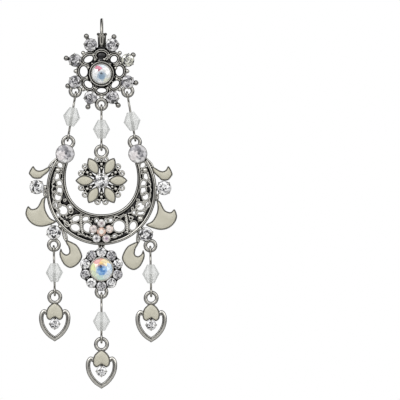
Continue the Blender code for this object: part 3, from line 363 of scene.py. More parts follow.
def spline(points: Sequence[Sequence[float]], steps: int = 8, closed: bool = False) -> np.ndarray:
    """A smooth curve through points: cubics whose slopes at each point match its neighbours' chord.

    Args:
        points: the points that it passes through.
        steps: the number of new points for each span.
        closed: whether it runs back to its start.

    Returns:
        The curve's points.
    """
    points = np.asarray(points, float)
    ends = points if closed else np.concatenate(
        [[2 * points[0] - points[1]], points, [2 * points[-1] - points[-2]]]
    )
    if closed:
        p0, p1, p2, p3 = (np.roll(ends, shift, axis=0) for shift in (1, 0, -1, -2))
    else:
        p0, p1, p2, p3 = ends[:-3], ends[1:-2], ends[2:-1], ends[3:]
    t = (np.arange(steps) / steps)[None, :, None]
    p0, p1, p2, p3 = (p[:, None] for p in (p0, p1, p2, p3))
    curve = 0.5 * (
        2 * p1 + (p2 - p0) * t + (2 * p0 - 5 * p1 + 4 * p2 - p3) * t**2 + (3 * p1 - p0 - 3 * p2 + p3) * t**3
    )
    curve = curve.reshape(-1, points.shape[1])
    return curve if closed else np.concatenate([curve, points[-1:]])


def grown(outline: np.ndarray, distance: float) -> np.ndarray:
    """Moves each point of a closed outline out along its normal, or in by a negative distance.

    Args:
        outline: the closed outline.
        distance: how far each point moves.

    Returns:
        The new outline.
    """
    outline = np.asarray(outline, float)
    arriving = unit(outline - np.roll(outline, 1, axis=0))
    leaving = unit(np.roll(outline, -1, axis=0) - outline)
    tangent = unit(arriving + leaving)
    x, y = outline.T
    area = np.sum(x * np.roll(y, -1) - np.roll(x, -1) * y)
    return outline + np.stack([tangent[:, 1], -tangent[:, 0]], axis=1) * np.sign(area) * distance


def inside(points: np.ndarray, outline: np.ndarray) -> np.ndarray:
    """Tells whether flat points are in a closed outline: a line to the right crosses it an odd time.

    Args:
        points: the flat points.
        outline: the closed outline.

    Returns:
        True or false for each point.
    """
    x, y = points[:, :1], points[:, 1:]
    ax, ay = outline.T
    bx, by = np.roll(outline, -1, axis=0).T
    spans = (ay > y) != (by > y)
    level = np.where(by == ay, 1e-12, by - ay)
    return (spans & (x < ax + (y - ay) / level * (bx - ax))).sum(axis=1) % 2 == 1


def edge_distance(points: np.ndarray, outline: np.ndarray) -> np.ndarray:
    """Measures how far flat points are from a closed outline's nearest side.

    Args:
        points: the flat points.
        outline: the closed outline.

    Returns:
        Each point's distance.
    """
    start = outline[None]
    along = np.roll(outline, -1, axis=0)[None] - start
    offset = points[:, None] - start
    share = np.clip((offset * along).sum(-1) / np.maximum((along**2).sum(-1), 1e-12), 0, 1)
    return np.linalg.norm(offset - share[..., None] * along, axis=-1).min(axis=1)


def plate(
    outline: np.ndarray,
    front: Callable[[np.ndarray], np.ndarray],
    back: float,
    holes: Sequence[np.ndarray] = (),
    spacing: float = 0.0,
    tint: Sequence[float] = (1, 1, 1),
) -> Shell:
    """A flat outline filled with triangles: a front at front(x, y), a flat back, and walls along every edge.

    Args:
        outline: the closed outline, across and up.
        front: gives each flat point its height.
        back: how far the back lies behind the middle plane.
        holes: outlines of the openings.
        spacing: distance between the grid points inside, or 0 for none.
        tint: the front's and the walls' colour; the back is polished to 0.6 at least.

    Returns:
        The closed shell.
    """
    outline = np.asarray(outline, float)
    loops = [outline, *holes]
    flat = [*loops]
    if spacing:
        low, high = outline.min(axis=0), outline.max(axis=0)
        grid = np.stack(
            np.meshgrid(*(np.arange(a, b, spacing) for a, b in zip(low, high))), axis=-1
        ).reshape(-1, 2)
        grid = grid[inside(grid, outline)]
        flat.append(grid[edge_distance(grid, outline) > 0.45 * spacing])
    firsts = np.cumsum([0] + [len(loop) for loop in loops])
    edges = np.concatenate(
        [
            np.stack([np.arange(len(loop)), np.roll(np.arange(len(loop)), -1)], 1) + n
            for loop, n in zip(loops, firsts)
        ]
    )
    made = delaunay_2d_cdt([Vector(p) for p in np.concatenate(flat)], edges.tolist(), [], 0, 1e-7, False)
    points, faces = np.array([tuple(p) for p in made[0]]), np.array(made[2])
    middles = points[faces].mean(axis=1)
    kept = inside(middles, outline)
    for hole in holes:
        kept &= ~inside(middles, hole)
    faces = faces[kept]
    used, faces = np.unique(faces, return_inverse=True)
    points, faces = points[used], faces.reshape(-1, 3)
    sides = np.concatenate([faces[:, [0, 1]], faces[:, [1, 2]], faces[:, [2, 0]]])
    paired = {tuple(side) for side in sides[:, ::-1].tolist()}
    rim = np.array([side for side in sides.tolist() if tuple(side) not in paired])
    count = len(points)
    walls = np.concatenate([rim[:, ::-1], rim + count], axis=1)
    skin = np.concatenate([on_face(points, front(points)), on_face(points, -back)])
    corners = np.concatenate([faces.reshape(-1), (faces[:, ::-1] + count).reshape(-1), walls.reshape(-1)])
    sizes = np.concatenate([np.full(2 * len(faces), 3), np.full(len(walls), 4)])
    smooth = np.arange(len(sizes)) < len(faces)
    colours = white(len(sizes)) * np.asarray(tint, float)
    colours[len(faces) : 2 * len(faces)] = np.maximum(tint, 0.6)
    return Shell(skin, corners, sizes, smooth, colours)


def rope(path: np.ndarray, radius: float, twists: float, strands: int = 2) -> Shell:
    """A twisted bar: the section's radius swells by a fifth with the cosine of its angle less the twist.

    Args:
        path: points along the middle.
        radius: the mean radius.
        twists: full turns over the path's length.
        strands: the number of strands that it shows.

    Returns:
        The closed shell.
    """
    angles = np.arange(20) * 2 * math.pi / 20
    twist = np.linspace(0, twists * 2 * math.pi, len(path))[:, None]
    reach = radius * (1 + 0.22 * np.cos(strands * (angles - twist)))
    return carried(path, np.stack([reach * np.cos(angles), reach * np.sin(angles)], axis=-1))


def curl(
    center: Sequence[float], sizes: tuple[float, float], turns: tuple[float, float],
    wires: tuple[float, float], height: float,
) -> Shell:
    """A spiral scroll with a bead at its inner end: its radius and its width change evenly with its angle.

    Args:
        center: the spiral's centre, across and up.
        sizes: its radius at its start and at its inner end.
        turns: its angle at its start and at its inner end, in degrees.
        wires: half its width at its start and at its inner end.
        height: how far forward its crown reaches.

    Returns:
        The closed shells.
    """
    steps = np.linspace(0, 1, 28)
    angle = np.radians(turns[0] + (turns[1] - turns[0]) * steps)
    reach = sizes[0] + (sizes[1] - sizes[0]) * steps
    flat = np.asarray(center) + np.stack([reach * np.cos(angle), reach * np.sin(angle)], axis=1)
    wire = 0.04 + (wires[0] + wires[1]) / 2
    return join([ridge(flat, wire, height), ball(on_face(flat[-1], height - 0.12), wires[1] * 1.6, 5, 8)])


def oval(center: Sequence[float], half: Sequence[float], turn: float, count: int = 28) -> np.ndarray:
    """An ellipse's outline: its two half sizes along axes turned by this many degrees."""
    cosine, sine = math.cos(math.radians(turn)), math.sin(math.radians(turn))
    return circle(count) * np.asarray(half) @ np.array(((cosine, sine), (-sine, cosine))) + np.asarray(center)


# Finishes


def linear(colour: str) -> tuple[float, float, float]:
    """Turns an sRGB hex colour to linear red, green and blue.

    Args:
        colour: the hex colour.

    Returns:
        The linear values.
    """
    values = np.array([int(colour[i : i + 2], 16) / 255 for i in (1, 3, 5)])
    result = np.where(values <= 0.04045, values / 12.92, ((values + 0.055) / 1.055) ** 2.4)
    return tuple(float(value) for value in result)


def rgba(colour: str) -> tuple[float, float, float, float]:
    """An sRGB hex colour as linear values with full opacity."""
    return (*linear(colour), 1.0)


def feed(tree: bpy.types.NodeTree, node: bpy.types.Node, inputs: dict) -> None:
    """Sets or links a node's inputs.

    Args:
        tree: the node tree.
        node: the node.
        inputs: socket names or numbers, each with its value or with the output that feeds it.
    """
    for socket, value in inputs.items():
        if isinstance(value, bpy.types.NodeSocket):
            tree.links.new(value, node.inputs[socket])
        else:
            node.inputs[socket].default_value = value


def add(
    tree: bpy.types.NodeTree, kind: str, inputs: dict | None = None, **settings: str | int
) -> bpy.types.Node:
    """Adds a node with its settings and links.

    Args:
        tree: the node tree.
        kind: the node's type name.
        inputs: socket names or numbers, each with its value or with the output that feeds it.
        settings: the node's own properties.

    Returns:
        The node.
    """
    node = tree.nodes.new(kind)
    for key, value in settings.items():
        setattr(node, key, value)
    feed(tree, node, inputs or {})
    return node


def new_material(name: str, values: dict) -> tuple[bpy.types.Material, bpy.types.NodeTree, bpy.types.Node]:
    """An empty material with a principled shader.

    Args:
        name: the material's name.
        values: the shader's sockets that are the same all over.

    Returns:
        The material, its node tree and its shader.
    """
    material = bpy.data.materials.new(name)
    material.use_nodes = True
    tree = material.node_tree
    shader = tree.nodes["Principled BSDF"]
    feed(tree, shader, values)
    return material, tree, shader


@dataclass(frozen=True)
class AntiqueSilver:
    """Cast base metal, silver plated, blackened and rubbed bright again.

    The raised parts shine pale and slightly warm; black oxide stays in every hollow and along every joint.
    The reach of the oxide is a real 0.6 mm, and the casting's grain is 0.12 mm.
    """

    name: str = "antique_silver_cast"
    slot: str = "antique_silver"
    bright: str = "#C4C2BC"
    oxide: str = "#0B0A0B"
    reach_mm: float = 0.60
    grain_mm: float = 0.12
    rough: float = 0.22
    edges: tuple[float, float] = (0.52, 0.92)

    def build(self) -> bpy.types.Material:
        """Makes the material.

        Returns:
            The material.
        """
        material, tree, shader = new_material(self.name, {"Metallic": 1.0})
        place = add(tree, "ShaderNodeTexCoord").outputs["Object"]
        near = add(tree, "ShaderNodeAmbientOcclusion", {"Distance": self.reach_mm * MM}, samples=8)
        grain = add(
            tree, "ShaderNodeTexNoise",
            {"Scale": 1 / (4 * self.grain_mm * MM), "Detail": 3.0, "Vector": place},
        )
        clean = add(tree, "ShaderNodeMath", {0: grain.outputs["Fac"], 1: 0.2, 2: near.outputs["AO"]},
                    operation="MULTIPLY_ADD")
        share = add(
            tree, "ShaderNodeMapRange",
            {"From Min": self.edges[0], "From Max": self.edges[1], "Value": clean.outputs["Value"]},
            interpolation_type="SMOOTHSTEP",
        )
        # The faces' tint, multiplied into the plating: painted shade on flanks that turn away, the oxidised
        # plates' black, and lower tones on some parts.
        tint = add(tree, "ShaderNodeAttribute", attribute_name="tint")
        plated = add(tree, "ShaderNodeMix", {0: 1.0, 6: rgba(self.bright), 7: tint.outputs["Color"]},
                     data_type="RGBA", blend_type="MULTIPLY")
        colour = add(
            tree, "ShaderNodeMix", {0: share.outputs["Result"], 6: rgba(self.oxide), 7: plated.outputs[2]},
            data_type="RGBA",
        )
        rough = add(
            tree, "ShaderNodeMapRange",
            {"To Min": 0.55, "To Max": self.rough, "Value": share.outputs["Result"]},
        )
        bump = add(
            tree, "ShaderNodeBump", {"Strength": 0.25, "Distance": 0.02 * MM, "Height": grain.outputs["Fac"]},
        )
        feed(
            tree, shader,
            {
                "Base Color": colour.outputs[2], "Roughness": rough.outputs["Result"],
                "Normal": bump.outputs["Normal"],
            },
        )
        return material


@dataclass(frozen=True)
class PolishedWire:
    """Drawn silver-plated wire: a smooth mirror-like finish with fine drawing lines and dark joints."""

    name: str = "polished_silver_wire"
    slot: str = "silver_wire"
    bright: str = "#A3A19B"
    oxide: str = "#1C1B1C"
    rough: float = 0.20

    def build(self) -> bpy.types.Material:
        """Makes the material.

        Returns:
            The material.
        """
        material, tree, shader = new_material(self.name, {"Metallic": 1.0})
        place = add(tree, "ShaderNodeTexCoord").outputs["Object"]
        near = add(tree, "ShaderNodeAmbientOcclusion", {"Distance": 0.3 * MM}, samples=8)
        share = add(
            tree, "ShaderNodeMapRange", {"From Min": 0.3, "From Max": 0.75, "Value": near.outputs["AO"]}
        )
        # The faces' tint, multiplied into the plating: painted shade on the lever behind the jewel.
        tint = add(tree, "ShaderNodeAttribute", attribute_name="tint")
        plated = add(tree, "ShaderNodeMix", {0: 1.0, 6: rgba(self.bright), 7: tint.outputs["Color"]},
                     data_type="RGBA", blend_type="MULTIPLY")
        colour = add(
            tree, "ShaderNodeMix", {0: share.outputs["Result"], 6: rgba(self.oxide), 7: plated.outputs[2]},
            data_type="RGBA",
        )
        lines = add(tree, "ShaderNodeTexNoise", {"Scale": 1 / (0.4 * MM), "Detail": 2.0, "Vector": place})
        rough = add(
            tree, "ShaderNodeMapRange",
            {"To Min": self.rough - 0.05, "To Max": self.rough + 0.08, "Value": lines.outputs["Fac"]},
        )
        feed(tree, shader, {"Base Color": colour.outputs[2], "Roughness": rough.outputs["Result"]})
        return material


@dataclass(frozen=True)
class FoiledCrystal:
    """Cut lead glass with a foiled back: each facet shows its own painted reflection from the faces' tint,
    light ones beside dark ones, under a glassy skin.
    """

    name: str = "foiled_cut_crystal"
    slot: str = "clear_crystal"
    metallic: float = 0.12
    rough: float = 0.06

    def build(self) -> bpy.types.Material:
        """Makes the material.

        Returns:
            The material.
        """
        material, tree, shader = new_material(
            self.name,
            {
                "Metallic": self.metallic, "Roughness": self.rough, "IOR": 1.56, "Coat Weight": 1.0,
                "Coat Roughness": 0.02,
            },
        )
        # The faces' tint holds the facets' painted reflections, highlights and dark reflections.
        tint = add(tree, "ShaderNodeAttribute", attribute_name="tint")
        place = add(tree, "ShaderNodeTexCoord").outputs["Object"]
        cells = add(tree, "ShaderNodeTexVoronoi", {"Scale": 1 / (0.55 * MM), "Vector": place})
        shade = add(
            tree, "ShaderNodeMapRange", {"To Min": 0.80, "To Max": 1.05, "Value": cells.outputs["Color"]}
        )
        colour = add(tree, "ShaderNodeMix", {0: 1.0, 6: tint.outputs["Color"], 7: shade.outputs["Result"]},
                     data_type="RGBA", blend_type="MULTIPLY")
        feed(tree, shader, {"Base Color": colour.outputs[2]})
        return material


@dataclass(frozen=True)
class MilkyGlass:
    """Pressed milky glass of the bicones: pale and cloudy, with the wire inside as a soft grey line, and
    painted shade that darkens it towards its outline.
    """

    name: str = "milky_pressed_glass"
    slot: str = "milky_glass"
    body: str = "#F6F7F5"
    cloud: str = "#E6E8E6"
    # Painted shade: the colour that the bead darkens to towards its outline.
    edge: str = "#B4B8B7"
    cover: tuple[float, float] = (0.40, 0.74)

    def build(self) -> bpy.types.Material:
        """Makes the material.

        Returns:
            The material.
        """
        material, tree, shader = new_material(
            self.name, {"IOR": 1.52, "Coat Weight": 0.5, "Coat Roughness": 0.05}
        )
        place = add(tree, "ShaderNodeTexCoord").outputs["Object"]
        cloud = add(tree, "ShaderNodeTexNoise", {"Scale": 1 / (2.4 * MM), "Detail": 2.0, "Vector": place})
        body = add(
            tree, "ShaderNodeMix", {0: cloud.outputs["Fac"], 6: rgba(self.cloud), 7: rgba(self.body)},
            data_type="RGBA",
        )
        # Darker towards the outline, where the facets turn away from the view: painted shade.
        facing = add(tree, "ShaderNodeLayerWeight", {"Blend": 0.35}).outputs["Facing"]
        colour = add(
            tree, "ShaderNodeMix", {0: facing, 6: body.outputs[2], 7: rgba(self.edge)}, data_type="RGBA"
        )
        cover = add(
            tree, "ShaderNodeMapRange",
            {"From Max": 0.8, "To Min": self.cover[0], "To Max": self.cover[1], "Value": facing},
        )
        rough = add(
            tree, "ShaderNodeMapRange", {"To Min": 0.10, "To Max": 0.20, "Value": cloud.outputs["Fac"]}
        )
        feed(
            tree, shader,
            {
                "Base Color": colour.outputs[2], "Alpha": cover.outputs["Result"],
                "Roughness": rough.outputs["Result"],
            },
        )
        return material


@dataclass(frozen=True)
class SatinEnamel:
    """Cold enamel poured into the trays: a satin cream with faint clouds, darker where it meets the rim."""

    name: str = "satin_cream_enamel"
    slot: str = "cream_enamel"
    cream: str = "#C7C4B5"
    shade: str = "#B3AF9E"
    seam: str = "#6F6B5C"

    def build(self) -> bpy.types.Material:
        """Makes the material.

        Returns:
            The material.
        """
        material, tree, shader = new_material(
            self.name, {"IOR": 1.5, "Coat Weight": 0.25, "Coat Roughness": 0.2}
        )
        place = add(tree, "ShaderNodeTexCoord").outputs["Object"]
        cloud = add(tree, "ShaderNodeTexNoise", {"Scale": 1 / (2.2 * MM), "Detail": 3.0, "Vector": place})
        body = add(
            tree, "ShaderNodeMix", {0: cloud.outputs["Fac"], 6: rgba(self.shade), 7: rgba(self.cream)},
            data_type="RGBA",
        )
        near = add(tree, "ShaderNodeAmbientOcclusion", {"Distance": 0.35 * MM}, samples=8)
        share = add(
            tree, "ShaderNodeMapRange", {"From Min": 0.35, "From Max": 0.8, "Value": near.outputs["AO"]}
        )
        colour = add(
            tree, "ShaderNodeMix", {0: share.outputs["Result"], 6: rgba(self.seam), 7: body.outputs[2]},
            data_type="RGBA",
        )
        fine = add(tree, "ShaderNodeTexNoise", {"Scale": 1 / (0.25 * MM), "Detail": 2.0, "Vector": place})
        bump = add(
            tree, "ShaderNodeBump", {"Strength": 0.08, "Distance": 0.02 * MM, "Height": fine.outputs["Fac"]},
        )
        rough = add(
            tree, "ShaderNodeMapRange", {"To Min": 0.32, "To Max": 0.46, "Value": cloud.outputs["Fac"]}
        )
        feed(
            tree, shader,
            {
                "Base Color": colour.outputs[2], "Roughness": rough.outputs["Result"],
                "Normal": bump.outputs["Normal"],
            },
        )
        return material


Finish = AntiqueSilver | PolishedWire | FoiledCrystal | MilkyGlass | SatinEnamel


@dataclass
class Workshop:
    """Makes finished pieces: one material for each finish, and one object for each shell."""

    made: dict = field(default_factory=dict)

    def material(self, finish: Finish) -> bpy.types.Material:
        """The material of a finish, made once.

        Args:
            finish: the finish.

        Returns:
            The material.
        """
        if finish.name not in self.made:
            self.made[finish.name] = finish.build()
        return self.made[finish.name]

    def piece(self, name: str, shell: Shell, finish: Finish, body: Body, nodes: Sequence[str]) -> None:
        """Turns a shell into an object that stands for CAD nodes.

        Args:
            name: the piece's name.
            shell: its surface in millimetres.
            finish: its finish.
            body: the body that it rides on.
            nodes: the CAD nodes that it replaces.
        """
        mesh = bpy.data.meshes.new(name)
        mesh.vertices.add(len(shell.points))
        mesh.loops.add(len(shell.corners))
        mesh.polygons.add(len(shell.sizes))
        mesh.vertices.foreach_set("co", (shell.points * MM).astype(np.float32).ravel())
        mesh.loops.foreach_set("vertex_index", shell.corners.astype(np.int32))
        mesh.polygons.foreach_set("loop_start", (np.cumsum(shell.sizes) - shell.sizes).astype(np.int32))
        mesh.polygons.foreach_set("use_smooth", shell.smooth.astype(bool))
        mesh.update(calc_edges=True)
        mesh.validate()
        tint = mesh.attributes.new("tint", "FLOAT_COLOR", "FACE")
        colours = np.concatenate([shell.tint, np.ones((len(shell.tint), 1))], axis=1)
        tint.data.foreach_set("color", colours.astype(np.float32).ravel())
        mesh.materials.append(self.material(finish))
        item = bpy.data.objects.new(name, mesh)
        bpy.context.scene.collection.objects.link(item)
        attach(item, body.value)
        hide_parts(*nodes)
        triangles = int((shell.sizes - 2).sum())
        LOG.info("%s: %d triangles on %s, for %s", name, triangles, body.value, ", ".join(nodes))


SILVER = AntiqueSilver()
WIRE = PolishedWire()
CRYSTAL = FoiledCrystal()
IRIDESCENT = FoiledCrystal("iridescent_cut_crystal", "iridescent_crystal", 0.10, 0.04)
MILKY = MilkyGlass()
ENAMEL = SatinEnamel()
OXIDE_TINT = (0.10, 0.10, 0.11)
# Facet tones of clear foiled stones: painted reflections, light and dark; the second set is tinted olive.
MISTY_REFLECTION_TONES = (
    "#E5E4E5", "#D2D1D3", "#C3C2C4", "#B2B1B4", "#9F9EA3", "#8A8991", "#CBC9CC", "#F0F0F0", "#DBD9DC",
    "#706F76",
)
OLIVE_REFLECTION_TONES = ("#F4F4EC", "#E6E6DA", "#DADACB", "#CBCBBD", "#B9BAAC", "#9A9B8F", "#FFFFFA", "#8A8A7F")


# Stones and their settings


Paint = Callable[[np.ndarray], np.ndarray]


@dataclass
class Brilliant:
    """A round brilliant: star in its table, star, kite and girdle facets, and a pointed back."""

    radius: float
    table: float = 0.56
    crown: float = 0.32
    pavilion: float = 0.70
    # Painted reflections: the light and grey tones that the facets are drawn from.
    tones: tuple[str, ...] = (
        "#FFFFFF", "#FBFBFB", "#F4F4F5", "#E8E8EA", "#FDFCFC", "#D4D4D7", "#FFFFFF", "#BDBDC1"
    )
    # Painted shadows of the claws and painted dark reflections, laid on some facets.
    painted_dark_tones: tuple[str, ...] = ("#0D0D0F", "#202023", "#404044", "#060607", "#6A6A70")

    def shell(self, center: np.ndarray, seed: int, paint: Paint | None = None, turn: float = 0.0) -> Shell:
        """Builds the stone about its girdle's centre.

        Args:
            center: the girdle's centre.
            seed: what the facets' tones are drawn from.
            paint: colours each facet by its place as a share of the radius, or None for the stone's tones.
            turn: how far the facets are turned, in degrees.

        Returns:
            The closed shell, with flat facets.
        """
        high = self.crown * self.radius
        whole = np.radians(np.arange(8) * 45.0 + turn)
        half = whole + math.pi / 8
        deep_height = -0.55 * self.pavilion * self.radius
        rings = (
            (whole, 0.13, high), (half, 0.27, high), (whole, 0.41, high), (half, self.table, high),
            (whole, 0.76, 0.62 * high), (half, 1.0, 0.05), (whole, 1.0, 0.05), (half, 1.0, -0.05),
            (whole, 1.0, -0.05), (whole, 0.45, deep_height),
        )
        flat = np.concatenate(
            [np.stack([np.cos(a), np.sin(a)], 1) * share * self.radius for a, share, _ in rings]
        )
        height = np.repeat([h for _, _, h in rings], 8)
        points = np.stack([flat[:, 0], -height, flat[:, 1]], axis=1)
        points = np.concatenate([points, [(0, -high, 0)], [(0, self.pavilion * self.radius, 0)]])
        k = np.arange(8)
        n = (k + 1) % 8
        core, heart, inner, table, star, g0, g1, h0, h1, deep = (
            first + np.stack([k, n], 1) for first in range(0, 80, 8)
        )
        top, low = np.full(8, 80), np.full(8, 81)
        rows = (
            (top, core[:, 0], core[:, 1]), (core[:, 0], heart[:, 0], core[:, 1]),
            (core[:, 1], heart[:, 0], heart[:, 1]), (heart[:, 0], inner[:, 1], heart[:, 1]),
            (heart[:, 0], inner[:, 0], inner[:, 1]), (inner[:, 0], table[:, 0], inner[:, 1]),
            (inner[:, 1], table[:, 0], table[:, 1]), (table[:, 0], star[:, 1], table[:, 1]),
            (star[:, 0], g0[:, 0], star[:, 1], table[:, 0]), (star[:, 0], g1[:, 0], g0[:, 0]),
            (star[:, 1], g0[:, 0], g1[:, 1]), (g1[:, 0], h1[:, 0], h0[:, 0], g0[:, 0]),
            (g0[:, 0], h0[:, 0], h1[:, 1], g1[:, 1]), (h1[:, 0], deep[:, 0], h0[:, 0]),
            (h0[:, 0], deep[:, 1], h1[:, 1]), (h0[:, 0], deep[:, 0], deep[:, 1]),
            (deep[:, 0], low, deep[:, 1]),
        )
        faces = [np.stack(row, 1) for row in rows]
        corners = np.concatenate([face.reshape(-1) for face in faces])
        sizes = np.concatenate([np.full(8, face.shape[1]) for face in faces])
        middles = np.concatenate([points[face].mean(axis=1) for face in faces])
        # Facet colours are painted light: drawn at random from the painted reflections, with painted dark
        # ones more likely on some rows of facets, or laid on by place through a paint.
        if paint is None:
            palette = np.array([linear(tone) for tone in self.tones])
            drawn = np.random.default_rng(seed)
            tint = palette[drawn.integers(0, len(palette), len(sizes))]
            dark = np.array([linear(tone) for tone in self.painted_dark_tones])
            group = np.arange(len(sizes)) // 8
            odds = np.interp(
                group, (0, 1, 2, 4, 7, 8, 9, 10, 11), (0.2, 0.4, 0.55, 0.35, 0.55, 0.3, 0.2, 0.2, 0.0)
            )
            painted_dark_facets = drawn.random(len(sizes)) < odds
            tint[painted_dark_facets] = dark[drawn.integers(0, len(dark), painted_dark_facets.sum())]
        else:
            tint = paint(middles[:, [0, 2]] / self.radius)
        return Shell(points + np.asarray(center), corners, sizes, np.zeros(len(sizes), bool), tint)


def coating_and_reflection_paint(ground: str, patches: Sequence[tuple[float, float, float, str]]) -> Paint:
    """Painted facet colours: an iridescent coating's colours where the stone has one, with painted highlights
    and painted reflections, light and dark, as a ground and soft round patches laid on it one after the
    other.

    Args:
        ground: the colour where no patch reaches.
        patches: each patch's place across and up and radius, as shares of the stone's, and its colour.

    Returns:
        A function from places on the stone to colours.
    """

    def paint(places: np.ndarray) -> np.ndarray:
        """Blends each patch over the colours so far: by 1 inside 3/4 of its radius, by 0 past 5/4.

        Args:
            places: places on the stone, across and up, as shares of its radius.

        Returns:
            The linear colour at each place, with a ripple of a tenth round the stone.
        """
        colours = np.tile(linear(ground), (len(places), 1))
        for across, up, radius, colour in patches:
            distance = np.hypot(places[:, 0] - across, places[:, 1] - up) / radius
            share = np.clip((1.25 - distance) / 0.5, 0, 1)[:, None]
            colours = colours * (1 - share) + np.array(linear(colour)) * share
        angle = np.arctan2(places[:, 1], places[:, 0])
        ripple = 1 + 0.10 * np.cos(8 * angle + 9 * np.hypot(*places.T))[:, None]
        return np.clip(colours * ripple, 0, 1)

    return paint


@dataclass
class ClawCup:
    """An open cup as wide as its stone, whose claws reach over the girdle onto the crown."""

    radius: float
    claws: int = 4
    claw_wire: float = 0.20
    first_claw: float = 45.0
    depth: float = 0.0

    def metal(self, place: Sequence[float], height: float = 0.0) -> Shell:
        """The cup and its claws.

        Args:
            place: the cup's centre, across and up.
            height: how far forward the whole setting is moved.

        Returns:
            The closed shells.
        """
        radius = self.radius
        back = CUP_RIM - (self.depth or 0.7 * radius + 0.25)
        center = on_face(place, height)
        profile = (
            (0.10 * radius, back), (0.72 * radius, back), (0.86 * radius, back + 0.08),
            (0.92 * radius, 0.0), (1.0 * radius, CUP_RIM - 0.12), (1.03 * radius, CUP_RIM + 0.12),
            (1.0 * radius, CUP_RIM + 0.22), (0.93 * radius, CUP_RIM + 0.2), (0.88 * radius, CUP_RIM),
            (0.5 * radius, back + 0.3), (0.08 * radius, back + 0.25),
        )
        parts = [toned(turned(profile, center, sides=36), 0.30)]
        wire = self.claw_wire
        for claw in range(self.claws):
            angle = math.radians(self.first_claw + claw * 360 / self.claws)
            out = np.array((math.cos(angle), math.sin(angle)))
            steps = spline(
                (
                    (0.92, back + 0.2), (1.02, 0.2), (1.06, CUP_RIM + 0.25), (0.99, GIRDLE_HEIGHT + 0.22),
                    (0.84, GIRDLE_HEIGHT + 0.36),
                ),
                5,
            )
            path = on_face(np.asarray(place) + steps[:, :1] * radius * out, height + steps[:, 1])
            side = np.array((-out[1], 0.0, out[0]))
            taper = np.linspace(1.1, 0.8, len(path)) * wire
            parts.append(tube(path, taper, 10, normal=side))
            parts.append(ball(path[-1], wire * 0.95, 6, 10))
        return join(parts)

    def stone(
        self, place: Sequence[float], seed: int, paint: Paint | None = None, height: float = 0.0
    ) -> Shell:
        """The stone with its girdle at its height in the cup."""
        return Brilliant(self.radius * 0.98).shell(on_face(place, GIRDLE_HEIGHT + height), seed, paint, 22.5)


@dataclass
class Bezel:
    """A closed rim round a large stone: bright outer ring, dark channel, bright lip over the girdle."""

    stone_radius: float
    wall: float = 0.36
    gap: float = 0.15
    rim: float = 0.30
    lip: float = 0.22

    def metal(self, place: Sequence[float], height: float = 0.0) -> Shell:
        """The bezel's wall and floor, with the channel left black.

        Args:
            place: its centre, across and up.
            height: how far forward the whole setting is moved.

        Returns:
            The closed shell.
        """
        r, outer = self.stone_radius, self.stone_radius + self.gap + self.wall
        back = GIRDLE_HEIGHT - 0.7 * r - self.gap - 0.25
        top = GIRDLE_HEIGHT + self.rim
        inner = r - self.lip
        profile = np.array(
            (
                (0.1, back), (outer - 0.1, back), (outer, back + 0.1), (outer, top - 0.30),
                (outer - 0.03, top - 0.12), (outer - 0.12, top - 0.04), (outer - 0.20, top - 0.10),
                (outer - 0.24, top - 0.22), (inner + 0.24, top - 0.16), (inner + 0.20, top + 0.02),
                (inner + 0.12, top + 0.08), (inner + 0.03, top + 0.04), (inner, top - 0.06),
                (r - 0.10, GIRDLE_HEIGHT + 0.10), (r - 0.02, GIRDLE_HEIGHT - 0.1),
                (r - 0.2, GIRDLE_HEIGHT - 0.3), (0.6, back + 0.4), (0.1, back + 0.3),
            )
        )
        shell = turned(profile, on_face(place, height), sides=64)
        tone = np.ones(len(profile) - 1)
        tone[[2, 6, 7, 8]] = (0.30, 0.16, 0.16, 0.16)
        shell.tint[: 64 * len(tone)] *= np.repeat(tone, 64)[:, None]
        return shell


# The studio and the jewel's pieces


